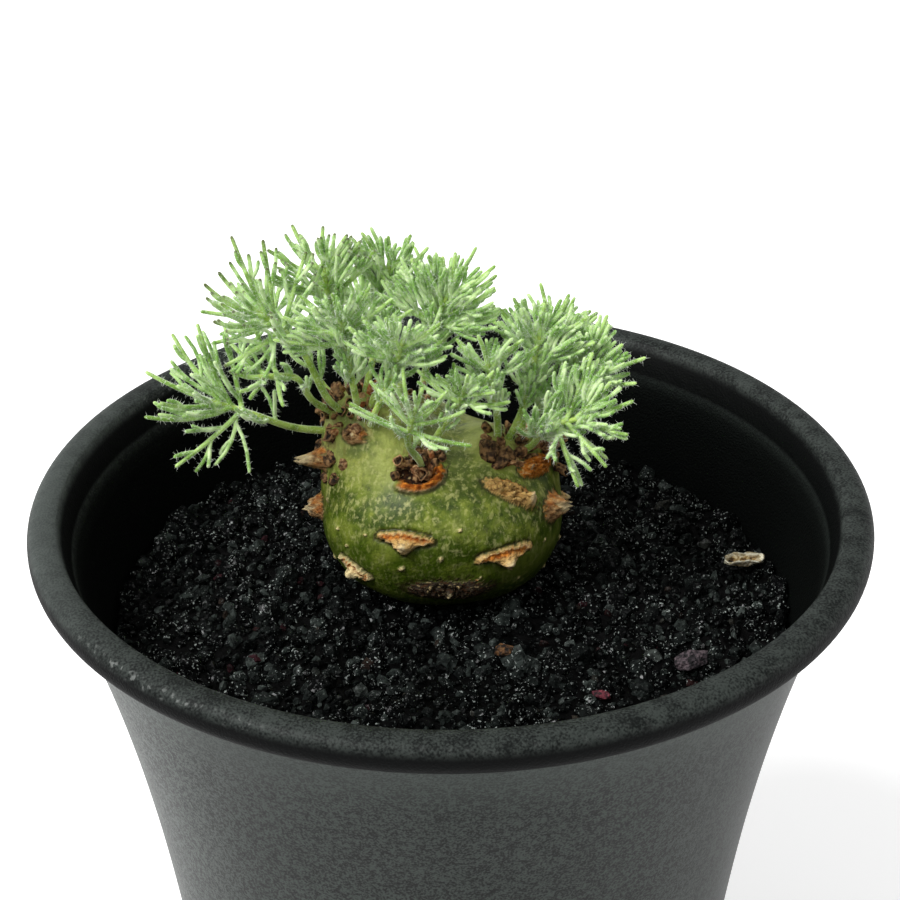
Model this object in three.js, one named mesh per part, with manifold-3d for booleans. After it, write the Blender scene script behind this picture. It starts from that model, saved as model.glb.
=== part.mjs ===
// A potted dwarf succulent: a swollen green stem with finely cut, brush-like leaves in a round nursery pot.
// Millimetres, +Z up. The origin is the middle of the pot's foot, on the surface that it stands on.

import * as THREE from 'three';
import { mergeVertices } from 'three/addons/utils/BufferGeometryUtils.js';
import Module from 'manifold-3d';

const manifold = await Module();
manifold.setup();

// Points nearer to each other than this are one point
const WELD = 1e-4;

const COLOURS = {
  pot: 0x3c3d3e,
  soil: 0x17140f,
  stem: 0x6f7c3a,
  leaf: 0x8fb078,
  bark: 0xa88a62,
};

// Pot
const POT_HEIGHT = 78;
const RIM_RADIUS = 45;
const RIM_HALF_WIDTH = 2.0;
const RIM_HALF_HEIGHT = 2.1;
const RIM_ROUNDNESS = 2.3;
const RIM_STEPS = 8;
// The rim's rolled edge starts under its outer side and ends inside, in turns from the outward horizontal
const RIM_ARC_START = -0.31;
const RIM_ARC_SWEEP = 0.66;
const WALL_THICKNESS = 2.1;
const FLOOR_THICKNESS = 2;
const FOOT_HEIGHT = 1.2;
const FOOT_WIDTH = 2.3;
const FOOT_BEVEL = 0.4;
const DRAIN_RADIUS = 4.5;
const POT_SIDES = 44;
// Outer wall: radius at each height, a bell that flares towards the rim
const WALL_CURVE = [
  [0, 29.3], [15.9, 30.9], [29.9, 32.6], [41.9, 34.25],
  [51.9, 36.1], [59.9, 37.9], [65.9, 39.6], [72.9, 41.6],
];

// Soil
const SOIL_TOP = 63.6;
const SOIL_RINGS = 9;
const SOIL_ROUGHNESS = 0.75;
const SOIL_SEED = 11;
const SOIL_EDGE_CALM = 0.55;
const SOIL_WALL_TOP = SOIL_TOP - 2;
const FIT_GAP = 0.3;
// The plain hole that the stem's underside and its taproot stand in
const HOLE_MOUTH_RADIUS = 8.2;
const HOLE_SHOULDER = 62.4;
const HOLE_SHOULDER_RADIUS = 6.9;

// Swollen stem
const STEM_CENTRE = new THREE.Vector3(-0.9, 7, 71.4);
const STEM_HALF = new THREE.Vector3(13.2, 11.8, 9.3);
const STEM_SQUARENESS = 2.25;
const STEM_AROUND = 36;
const STEM_UP = 22;
const ROOT_TOP_RADIUS = 5.1;
const ROOT_TIP_RADIUS = 0.8;
const ROOT_TOP = 63.2;
const ROOT_BOTTOM = 42;
const ROOT_SIDES = 20;
const ROOT_HEIGHTS = [ROOT_BOTTOM, 50, 57, ROOT_TOP];
const HOLE_HEIGHTS = [61.4, 58, 50, ROOT_BOTTOM];
const ROOT_TAPER = 0.8;
// How far the taproot reaches up into the stem
const ROOT_SINK = 3;
// Broad swellings that the leaves grow from: [x, y, z of the swelling's top, angular half width in radians]
const HEADS = [
  [-11.2, 8.5, 85.2, 0.44],
  [-3.2, 2.4, 81.0, 0.24],
  [7.2, 6.4, 81.2, 0.34],
  [11.3, 8.5, 79.0, 0.28],
  [-4, 15.5, 81.2, 0.34],
];
const HEAD_FALLOFF = 0.9;
// The step, in radians, to the neighbouring points that a surface normal is worked out from
const NORMAL_STEP = 0.02;

// Leaf scars: [azimuth, elevation, width, height, rise, beak, turn], with the angles in degrees
const SCARS = [
  [-113, 16, 6.0, 3.0, 0.7, 1.3, 0],
  [-57, 4, 6.2, 2.8, 0.7, 1.2, 8],
  [-142, -17, 4.8, 2.6, 0.7, 1.2, -25],
  [-88, -21, 8.0, 2.4, 0.5, 1.1, 0],
  [-176, 5, 4.6, 3.4, 1.1, 1.7, 10],
  [-175, 27, 4.4, 3.0, 1.3, 1.9, 0],
  [-104, 47, 6.0, 2.6, 0.9, 0.5, 0],
  [-44, 31, 5.6, 3.2, 0.9, 1.5, 0],
  [-20, 14, 4.6, 3.0, 1.0, 1.6, 0],
  [-30, -14, 4.4, 2.6, 0.7, 1.1, 0],
  [-12, 34, 4.6, 2.8, 0.9, 1.2, 0],
  [12, 2, 5.4, 2.8, 0.7, 1.2, 0],
  [40, 22, 5.4, 3.0, 0.8, 1.3, 0],
  [66, -4, 5.8, 2.8, 0.7, 1.2, 0],
  [94, 20, 5.4, 3.0, 0.8, 1.3, 0],
  [122, -6, 5.6, 2.8, 0.7, 1.2, 0],
  [148, 17, 5.2, 3.0, 0.8, 1.3, 0],
  [166, -14, 4.8, 2.6, 0.7, 1.1, 0],
  [-146, 26, 4.4, 2.6, 0.7, 1.0, 0],
];
const SCAR_SIDES = 8;
const SCAR_SINK = 0.9;
const SCAR_FOOT_SCALE = 1.06;
const SCAR_TOP_SCALE = 0.88;
const SCAR_POINTEDNESS = 0.35;
const BEAK_SHARE = 0.75;
const BEAK_DROP = 0.2;

// Dried old leaf bases round each growing point: [x, y, z, ring radius, how many, length]
const OLD_BASES = [
  [-11.0, 7.5, 85.4, 3.4, 9, 2.0],
  [-3.3, 1.9, 80.6, 1.9, 6, 1.8],
  [6.2, 5.8, 80.6, 2.3, 7, 1.7],
  [11.2, 8.0, 78.6, 1.8, 6, 2.0],
  [-4, 15, 81.0, 2.2, 6, 1.8],
];
const OLD_BASE_RADIUS = 0.62;
const OLD_BASE_SINK = 0.8;
const OLD_BASE_LEAN = 0.45;
const OLD_BASE_SIDES = 5;
const OLD_BASE_WAIST = 0.72;
const OLD_BASE_SEED = 7;
// Each stub's turn past its even place on the ring, its share of the ring's radius and its share of the length
const OLD_BASE_STAGGER = 0.3;
const OLD_BASE_SPREAD = [0.75, 1.25];
const OLD_BASE_LENGTHS = [0.7, 1.2];

// Leaves
const TWIG_RADIUS = 0.42;
const RAY_RADIUS = 0.46;
const PETIOLE_RADIUS = 0.62;
const PETIOLE_STEPS = 4;
const PETIOLE_BEND = 0.4;
const PETIOLE_LEAD = 0.35;
// Shares of the petiole's radius: how far its foot stands off the stem's skin, and how far its end reaches back
const PETIOLE_SEAT = 0.6;
const PETIOLE_ROOT = 0.3;
// How much of the way from petiole to ray its radius has narrowed at the hub
const PETIOLE_TAPER = 0.6;
const HUB_STEP = 1.25;
// Side rays: the first pair's share of the reach, each further pair's gain, and their lift to the blade's face
const PAIR_REACH = 0.9;
const PAIR_GAIN = 0.03;
const PAIR_CUP = 0.1;
const PAIR_CUP_JITTER = 0.14;
// What each step along the axis takes off a side ray, as a share of the step, and how slowly the pairs close up
const PAIR_LOSS = 0.7;
const PAIR_CLOSING = 0.35;
const UNDER_RAYS = 2;
const UNDER_REACH = 0.75;
const UNDER_SPLAY = 0.5;
// A ray's step, its root, the outward share that keeps it off its parent, and where it must be clear of others
const RAY_STEP = 2.3;
const RAY_ROOT = 1.0;
const RAY_LIFT = 0.3;
const RAY_CLEAR_FROM = 1.7;
const TWIG_LENGTH = 2.9;
const TWIG_LEAN = 0.62;
const TWIG_LIFT = 0.34;
const TWIG_ROOT = 0.6;
const TWIG_CLEAR_FROM = 1.1;
const TWIG_LENGTHS = [0.85, 1.15];
const TWIG_JITTER = 0.12;
const TIP_LENGTH = 0.35;
// Least gaps: between two leaves, between stalks of one leaf, and between a leaf and the stem's skin
const LEAF_GAP = 0.3;
const OWN_GAP = 0.12;
const STEM_GAP = 0.45;
const STEM_PROBES = [0, 0.25, 0.5, 0.75, 1];
// A stalk that finds no room tries other directions, each further from the wanted one
const TRIES = 14;
const WOBBLE = 0.3;
const WOBBLE_START = 0.4;
const LEAF_SEED = 100;

// Each leaf: [name, foot on the stem, hub where the blade starts, aim of the blade, face of the blade,
// reach of the blade, pairs of side rays, widest side angle in degrees]
const LEAVES = [
  ['leaf_left_low', [-13, 4, 81.2], [-23, 3, 86.7], [-0.9, -0.05, 0.36], [0.15, -0.75, 0.6], 8.7, 3, 86],
  ['leaf_left_up', [-12.6, 5.6, 85.8], [-17.2, 4.4, 95], [-0.72, 0, 0.62], [0.3, -0.75, 0.5], 9.6, 3, 70],
  ['leaf_left_mid', [-13.6, 7, 84.6], [-17.6, 1.4, 91.4], [-0.85, -0.3, 0.1], [-0.1, -0.6, 0.75], 5.6, 2, 80],
  ['leaf_crown_left', [-10.6, 5.2, 86.8], [-10.9, 3, 94.2], [-0.1, -0.35, 0.9], [0, -0.85, 0.4], 7.4, 3, 86],
  ['leaf_top_left', [-11.4, 8.6, 87.2], [-12.8, 9.2, 96.4], [-0.12, 0.1, 1], [0, -0.9, 0.3], 7.9, 3, 64],
  ['leaf_top', [-8.6, 8, 86], [-6.8, 11, 95.6], [0.12, 0.12, 0.95], [0, -0.9, 0.3], 7, 3, 66],
  ['leaf_top_right', [-7.6, 5.6, 84.2], [-1.6, 8.4, 93.4], [0.35, 0.05, 0.9], [-0.2, -0.85, 0.35], 8.4, 3, 74],
  ['leaf_crown_mid', [-8.6, 3.6, 84.8], [-5.4, 1, 93.2], [0.15, -0.45, 0.8], [0, -0.8, 0.5], 6.8, 3, 88],
  ['leaf_front', [-3.3, 0.6, 81.6], [-4.4, -3.4, 86.2], [0.2, -0.75, 0.45], [0, -0.55, 0.8], 6.6, 3, 92],
  ['leaf_front_up', [-2, 2.4, 81.8], [1, -0.4, 89], [0.2, -0.45, 0.8], [0, -0.8, 0.5], 5.6, 2, 84],
  ['leaf_middle', [5, 5.2, 82], [4.4, 3.6, 89.4], [-0.15, -0.15, 0.95], [0.1, -0.85, 0.4], 6.2, 2, 84],
  ['leaf_right_up', [6.8, 5.4, 82.2], [9, 6.4, 89.6], [0.15, 0.05, 0.95], [0.1, -0.85, 0.4], 7.6, 3, 60],
  ['leaf_right_low', [9, 4.6, 81], [12.6, 1.8, 85.4], [0.9, -0.25, 0.12], [0.1, -0.7, 0.65], 7.7, 3, 84],
  ['leaf_right', [9.6, 7.4, 81.6], [13.4, 6.2, 87.4], [0.72, -0.05, 0.62], [-0.2, -0.75, 0.6], 7.3, 3, 72],
  ['leaf_back_right', [8.4, 10.4, 81], [10.4, 15.4, 86], [0.45, 0.7, 0.5], [-0.1, 0.6, -0.75], 8, 3, 82],
  ['leaf_back', [-3.2, 16.6, 82.6], [-1, 19.4, 88.8], [0.1, 0.75, 0.6], [0, 0.6, -0.75], 8, 3, 84],
  ['leaf_back_left', [-6.2, 14.6, 83], [-9, 18.4, 89.4], [-0.3, 0.65, 0.65], [0, 0.6, -0.75], 8, 3, 84],
  ['leaf_back_far', [-13.4, 11, 84.4], [-18, 13.2, 90.6], [-0.8, 0.35, 0.45], [0.2, 0.5, -0.8], 8, 3, 80],
];

// Loose pieces on the soil: [name, x, y, half sizes, turn about z, tilt, colour]
const GRAINS = [
  ['lump_purple', 25.2, -12.6, [2.6, 1.6, 0.9], 0.5, 0.1, 0x4a3440],
  ['lump_brown', 5.6, -11.4, [1.3, 1.1, 0.9], 0.2, 0.1, 0x4b3527],
  ['chip_red', 15.4, -18.2, [1.2, 0.7, 0.5], -0.3, 0.1, 0x7c2434],
];
const GRAIN_CLEARANCE = 0.32;
const GRAIN_SEED = 31;
const GRAIN_CORNERS = [0.85, 1];
// The bark flake: length, width, thickness and how far its ends curl up
const FLAKE_SIZE = [4.4, 1.9, 0.8, 0.4];
const FLAKE_PLACE = [33, 6.6];
const FLAKE_TURN = [0.05, 0, 0.1];
const FLAKE_STEPS = 6;
const FLAKE_BLUNTNESS = 0.6;
// The flake's section, as shares of half its width and half its thickness
const FLAKE_SECTION = [[0, 1], [-1, 0], [0, -0.6], [1, 0]];

function seededRandom(seed) {
  let state = seed >>> 0;
  return () => {
    state = (state + 0x6d2b79f5) >>> 0;
    let mixed = Math.imul(state ^ (state >>> 15), state | 1);
    mixed ^= mixed + Math.imul(mixed ^ (mixed >>> 7), mixed | 61);
    return ((mixed ^ (mixed >>> 14)) >>> 0) / 4294967296;
  };
}

function between([low, high], random) {
  return low + (high - low) * random();
}

function material(colour, roughness) {
  return new THREE.MeshStandardMaterial({ color: colour, roughness, metalness: 0, side: THREE.FrontSide });
}

// A closed surface from points and triangles, turned so that its faces point out
function closedGeometry(points, triangles) {
  let volume = 0;
  for (let i = 0; i < triangles.length; i += 3) {
    const [a, b, c] = [points[triangles[i]], points[triangles[i + 1]], points[triangles[i + 2]]];
    volume += a.dot(b.clone().cross(c));
  }
  const order = volume < 0 ? triangles.slice().reverse() : triangles;
  const geometry = new THREE.BufferGeometry();
  geometry.setAttribute('position', new THREE.Float32BufferAttribute(points.flatMap((p) => p.toArray()), 3));
  geometry.setIndex(order);
  return geometry;
}

function toSolid(geometry) {
  const bare = geometry.clone();
  bare.deleteAttribute('normal');
  bare.deleteAttribute('uv');
  const merged = mergeVertices(bare, WELD);
  return new manifold.Manifold(new manifold.Mesh({
    numProp: 3,
    vertProperties: new Float32Array(merged.getAttribute('position').array),
    triVerts: new Uint32Array(merged.getIndex().array),
  }));
}

function toGeometry(solid) {
  const mesh = solid.getMesh();
  const geometry = new THREE.BufferGeometry();
  geometry.setAttribute('position', new THREE.Float32BufferAttribute(mesh.vertProperties, 3));
  geometry.setIndex(Array.from(mesh.triVerts));
  return geometry;
}

// Rings of the same number of points joined into a skin, each end closed by one point
function skinBetweenRings(rings, startPoint, endPoint) {
  const points = rings.flat();
  const triangles = [];
  const sides = rings[0].length;
  for (let ring = 0; ring + 1 < rings.length; ring += 1) {
    for (let side = 0; side < sides; side += 1) {
      const next = (side + 1) % sides;
      const [a, b] = [ring * sides + side, ring * sides + next];
      const [c, d] = [a + sides, b + sides];
      triangles.push(a, b, d, a, d, c);
    }
  }
  const first = points.push(startPoint) - 1;
  const last = points.push(endPoint) - 1;
  const offset = (rings.length - 1) * sides;
  for (let side = 0; side < sides; side += 1) {
    const next = (side + 1) % sides;
    triangles.push(first, next, side);
    triangles.push(last, offset + side, offset + next);
  }
  return closedGeometry(points, triangles);
}

// Pot

function wallRadius(height) {
  const last = WALL_CURVE.length - 1;
  for (let i = 0; i < last; i += 1) {
    const [z0, r0] = WALL_CURVE[i];
    const [z1, r1] = WALL_CURVE[i + 1];
    if (height <= z1) {
      return r0 + ((r1 - r0) * (height - z0)) / (z1 - z0);
    }
  }
  return WALL_CURVE[last][1];
}

function rimPoints() {
  const points = [];
  for (let i = 0; i <= RIM_STEPS; i += 1) {
    const angle = 2 * Math.PI * (RIM_ARC_START + (RIM_ARC_SWEEP * i) / RIM_STEPS);
    const [c, s] = [Math.cos(angle), Math.sin(angle)];
    const power = 2 / RIM_ROUNDNESS;
    points.push(new THREE.Vector2(
      RIM_RADIUS - RIM_HALF_WIDTH + RIM_HALF_WIDTH * Math.sign(c) * Math.abs(c) ** power,
      POT_HEIGHT - RIM_HALF_HEIGHT + RIM_HALF_HEIGHT * Math.sign(s) * Math.abs(s) ** power,
    ));
  }
  return points;
}

function potGeometry() {
  const footRadius = WALL_CURVE[0][1];
  const floorTop = FOOT_HEIGHT + FLOOR_THICKNESS;
  const profile = [
    new THREE.Vector2(DRAIN_RADIUS, FOOT_HEIGHT),
    new THREE.Vector2(footRadius - FOOT_WIDTH - FOOT_BEVEL, FOOT_HEIGHT),
    new THREE.Vector2(footRadius - FOOT_WIDTH, 0),
    new THREE.Vector2(footRadius, 0),
  ];
  for (const [height, radius] of WALL_CURVE.slice(1)) {
    profile.push(new THREE.Vector2(radius, height));
  }
  profile.push(...rimPoints());
  for (const [height, radius] of WALL_CURVE.slice(1).reverse()) {
    profile.push(new THREE.Vector2(radius - WALL_THICKNESS, height));
  }
  profile.push(new THREE.Vector2(wallRadius(floorTop) - WALL_THICKNESS, floorTop));
  profile.push(new THREE.Vector2(DRAIN_RADIUS, floorTop));
  profile.push(profile[0].clone());
  const geometry = new THREE.LatheGeometry(profile, POT_SIDES).rotateX(Math.PI / 2);
  geometry.deleteAttribute('normal');
  geometry.deleteAttribute('uv');
  const merged = mergeVertices(geometry, WELD);
  const positions = merged.getAttribute('position');
  const points = [];
  for (let i = 0; i < positions.count; i += 1) {
    points.push(new THREE.Vector3().fromBufferAttribute(positions, i));
  }
  return closedGeometry(points, Array.from(merged.getIndex().array));
}

// Soil

function rootRadius(height) {
  const share = THREE.MathUtils.clamp((height - ROOT_BOTTOM) / (ROOT_TOP - ROOT_BOTTOM), 0, 1);
  return ROOT_TIP_RADIUS + (ROOT_TOP_RADIUS - ROOT_TIP_RADIUS) * share ** ROOT_TAPER;
}

function circle(centreX, centreY, radius, height, sides, phase = 0) {
  return Array.from({ length: sides }, (_, i) => {
    const angle = phase + (2 * Math.PI * i) / sides;
    return new THREE.Vector3(centreX + radius * Math.cos(angle), centreY + radius * Math.sin(angle), height);
  });
}

function soilGeometry() {
  const random = seededRandom(SOIL_SEED);
  const rings = [];
  const floor = FOOT_HEIGHT + FLOOR_THICKNESS + FIT_GAP;
  const lowest = wallRadius(floor) - WALL_THICKNESS - FIT_GAP;
  rings.push(circle(0, 0, lowest, floor, POT_SIDES));
  for (const [height, radius] of WALL_CURVE.slice(1)) {
    if (height < SOIL_WALL_TOP) {
      rings.push(circle(0, 0, radius - WALL_THICKNESS - FIT_GAP, height, POT_SIDES));
    }
  }
  const edge = wallRadius(SOIL_TOP) - WALL_THICKNESS - FIT_GAP;
  const outer = circle(0, 0, edge, SOIL_TOP, POT_SIDES);
  const inner = circle(STEM_CENTRE.x, STEM_CENTRE.y, HOLE_MOUTH_RADIUS, SOIL_TOP, POT_SIDES);
  for (let ring = 0; ring <= SOIL_RINGS; ring += 1) {
    const share = 1 - ring / SOIL_RINGS;
    const inland = Math.min(1, ring, (SOIL_RINGS - ring) * SOIL_EDGE_CALM);
    rings.push(outer.map((point, i) => {
      const place = inner[i].clone().lerp(point, share);
      place.z += (random() * 2 - 1) * SOIL_ROUGHNESS * inland;
      return place;
    }));
  }
  rings.push(circle(STEM_CENTRE.x, STEM_CENTRE.y, HOLE_SHOULDER_RADIUS, HOLE_SHOULDER, POT_SIDES));
  for (const height of HOLE_HEIGHTS) {
    rings.push(circle(STEM_CENTRE.x, STEM_CENTRE.y, rootRadius(height) + 2 * FIT_GAP, height, POT_SIDES));
  }
  const bottom = new THREE.Vector3(0, 0, floor);
  const pit = new THREE.Vector3(STEM_CENTRE.x, STEM_CENTRE.y, ROOT_BOTTOM - 2 * FIT_GAP);
  return skinBetweenRings(rings, bottom, pit);
}

// Swollen stem

function stemRadius(direction) {
  const power = STEM_SQUARENESS;
  const sum = Math.abs(direction.x / STEM_HALF.x) ** power
    + Math.abs(direction.y / STEM_HALF.y) ** power
    + Math.abs(direction.z / STEM_HALF.z) ** power;
  let radius = sum ** (-1 / power);
  const plain = radius;
  for (const [x, y, z, width] of HEADS) {
    const top = new THREE.Vector3(x, y, z).sub(STEM_CENTRE);
    const apart = direction.angleTo(top) / width;
    const rise = Math.max(0, top.length() - plain);
    radius = Math.max(radius, plain + rise * Math.exp(-HEAD_FALLOFF * apart ** 2));
  }
  return radius;
}

function stemPoint(direction, lift = 0) {
  return direction.clone().multiplyScalar(stemRadius(direction) + lift).add(STEM_CENTRE);
}

// The outward normal of the stem's real surface, from two neighbouring points of it
function stemNormal(direction) {
  const step = NORMAL_STEP;
  const side = new THREE.Vector3(0, 0, 1).cross(direction).normalize();
  const top = direction.clone().cross(side);
  const foot = stemPoint(direction);
  const beside = stemPoint(direction.clone().addScaledVector(side, step).normalize()).sub(foot);
  const above = stemPoint(direction.clone().addScaledVector(top, step).normalize()).sub(foot);
  return beside.cross(above).normalize();
}

function directionTo(x, y, z) {
  return new THREE.Vector3(x, y, z).sub(STEM_CENTRE).normalize();
}

function stemBody() {
  const rings = [];
  for (let ring = 1; ring < STEM_UP; ring += 1) {
    const polar = Math.PI * (1 - ring / STEM_UP);
    const row = [];
    for (let side = 0; side < STEM_AROUND; side += 1) {
      const around = (2 * Math.PI * side) / STEM_AROUND;
      row.push(stemPoint(new THREE.Vector3().setFromSphericalCoords(1, polar, around).applyAxisAngle(
        new THREE.Vector3(1, 0, 0), Math.PI / 2,
      )));
    }
    rings.push(row);
  }
  const down = stemPoint(new THREE.Vector3(0, 0, -1));
  const up = stemPoint(new THREE.Vector3(0, 0, 1));
  return skinBetweenRings(rings, down, up);
}

function taproot() {
  const { x, y } = STEM_CENTRE;
  const rings = ROOT_HEIGHTS.map((height) => circle(x, y, rootRadius(height), height, ROOT_SIDES));
  return skinBetweenRings(
    rings,
    new THREE.Vector3(x, y, ROOT_BOTTOM - FIT_GAP),
    new THREE.Vector3(x, y, ROOT_TOP + ROOT_SINK),
  );
}

// A lens-shaped, raised leaf scar with a pointed beak at its middle
function scar([azimuth, elevation, width, height, rise, beak, turn]) {
  const [a, e] = [THREE.MathUtils.degToRad(azimuth), THREE.MathUtils.degToRad(elevation)];
  const direction = new THREE.Vector3(Math.cos(a) * Math.cos(e), Math.sin(a) * Math.cos(e), Math.sin(e));
  const normal = stemNormal(direction);
  const across = new THREE.Vector3(0, 0, 1).cross(normal).normalize().applyAxisAngle(
    normal, THREE.MathUtils.degToRad(turn),
  );
  const upward = normal.clone().cross(across);
  const foot = stemPoint(direction);
  const ring = (scale, lift) => Array.from({ length: SCAR_SIDES }, (_, i) => {
    const angle = (2 * Math.PI * i) / SCAR_SIDES;
    const sharp = Math.sin(angle) * (1 - SCAR_POINTEDNESS * Math.abs(Math.cos(angle)));
    return foot.clone()
      .addScaledVector(across, 0.5 * width * scale * Math.cos(angle))
      .addScaledVector(upward, 0.5 * height * scale * sharp)
      .addScaledVector(normal, lift);
  });
  const beakPoint = foot.clone()
    .addScaledVector(normal, rise + beak * BEAK_SHARE)
    .addScaledVector(upward, -BEAK_DROP * height);
  return skinBetweenRings(
    [ring(SCAR_FOOT_SCALE, -SCAR_SINK), ring(SCAR_TOP_SCALE, rise)],
    foot.clone().addScaledVector(normal, -SCAR_SINK),
    beakPoint,
  );
}

function segmentDistance(a0, a1, b0, b1) {
  const [u, v, w] = [a1.clone().sub(a0), b1.clone().sub(b0), a0.clone().sub(b0)];
  const [uu, uv, vv, uw, vw] = [u.dot(u), u.dot(v), v.dot(v), u.dot(w), v.dot(w)];
  const denominator = uu * vv - uv * uv;
  let s = denominator < 1e-9 ? 0 : THREE.MathUtils.clamp((uv * vw - vv * uw) / denominator, 0, 1);
  let t = (uv * s + vw) / vv;
  if (t < 0) {
    t = 0;
    s = THREE.MathUtils.clamp(-uw / uu, 0, 1);
  } else if (t > 1) {
    t = 1;
    s = THREE.MathUtils.clamp((uv - uw) / uu, 0, 1);
  }
  return w.addScaledVector(u, s).addScaledVector(v, -t).length();
}

// Everything that has grown so far, as thick segments, so that nothing new crosses it
class Canopy {
  constructor() {
    this.segments = [];
  }

  add(start, end, radius, leaf, branch) {
    this.segments.push({ start, end, radius, leaf, branch });
  }

  clearOfLeaves(start, end, radius, leaf, family) {
    const middle = start.clone().add(end).multiplyScalar(0.5);
    const half = start.distanceTo(end) / 2;
    for (const other of this.segments) {
      if (other.leaf === leaf && family.includes(other.branch)) {
        continue;
      }
      const gap = other.leaf === leaf ? OWN_GAP : LEAF_GAP;
      const reach = radius + other.radius + gap;
      const otherHalf = other.start.distanceTo(other.end) / 2;
      const otherMiddle = other.start.clone().add(other.end).multiplyScalar(0.5);
      if (middle.distanceTo(otherMiddle) > half + otherHalf + reach) {
        continue;
      }
      if (segmentDistance(start, end, other.start, other.end) < reach) {
        return false;
      }
    }
    return true;
  }

  clearOfStem(start, end, radius) {
    for (const share of STEM_PROBES) {
      const offset = start.clone().lerp(end, share).sub(STEM_CENTRE);
      const far = offset.length();
      if (far - stemRadius(offset.divideScalar(far)) < radius + STEM_GAP) {
        return false;
      }
    }
    return true;
  }
}

// A branching skin of three-sided stalks: a side branch grows out of one triangle of its parent's side
class BranchSkin {
  constructor() {
    this.points = [];
    this.triangles = [];
  }

  ring(centre, direction, face, radius) {
    const side = face.clone().cross(direction).normalize();
    const top = direction.clone().cross(side).normalize();
    return [0, 1, 2].map((corner) => {
      const angle = Math.PI / 2 + (2 * Math.PI * corner) / 3;
      return this.points.push(centre.clone()
        .addScaledVector(side, radius * Math.cos(angle))
        .addScaledVector(top, radius * Math.sin(angle))) - 1;
    });
  }

  triangle(a, b, c) {
    this.triangles.push([a, b, c]);
    return this.triangles.length - 1;
  }

  // Returns, for each of the three sides, the index of the triangle that a side branch may take over
  join(lower, upper) {
    return [0, 1, 2].map((side) => {
      const next = (side + 1) % 3;
      const slot = this.triangle(lower[side], lower[next], upper[next]);
      this.triangle(lower[side], upper[next], upper[side]);
      return slot;
    });
  }

  close(ring, tip) {
    const point = this.points.push(tip) - 1;
    [0, 1, 2].forEach((side) => this.triangle(ring[side], ring[(side + 1) % 3], point));
  }

  open(slot) {
    const base = this.triangles[slot];
    this.triangles[slot] = null;
    return base;
  }

  // The turn of the new ring that lies nearest to the base that it grows from
  matched(base, ring) {
    let best = null;
    for (let turn = 0; turn < 3; turn += 1) {
      const turned = [0, 1, 2].map((corner) => ring[(corner + turn) % 3]);
      const apart = turned.reduce((sum, point, i) => (
        sum + this.points[point].distanceToSquared(this.points[base[i]])
      ), 0);
      if (!best || apart < best.apart) {
        best = { apart, turned };
      }
    }
    return best.turned;
  }

  geometry() {
    return closedGeometry(this.points, this.triangles.filter(Boolean).flat());
  }
}

const SLOT_LEFT = 0;
const SLOT_UNDER = 1;
const SLOT_RIGHT = 2;

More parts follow.
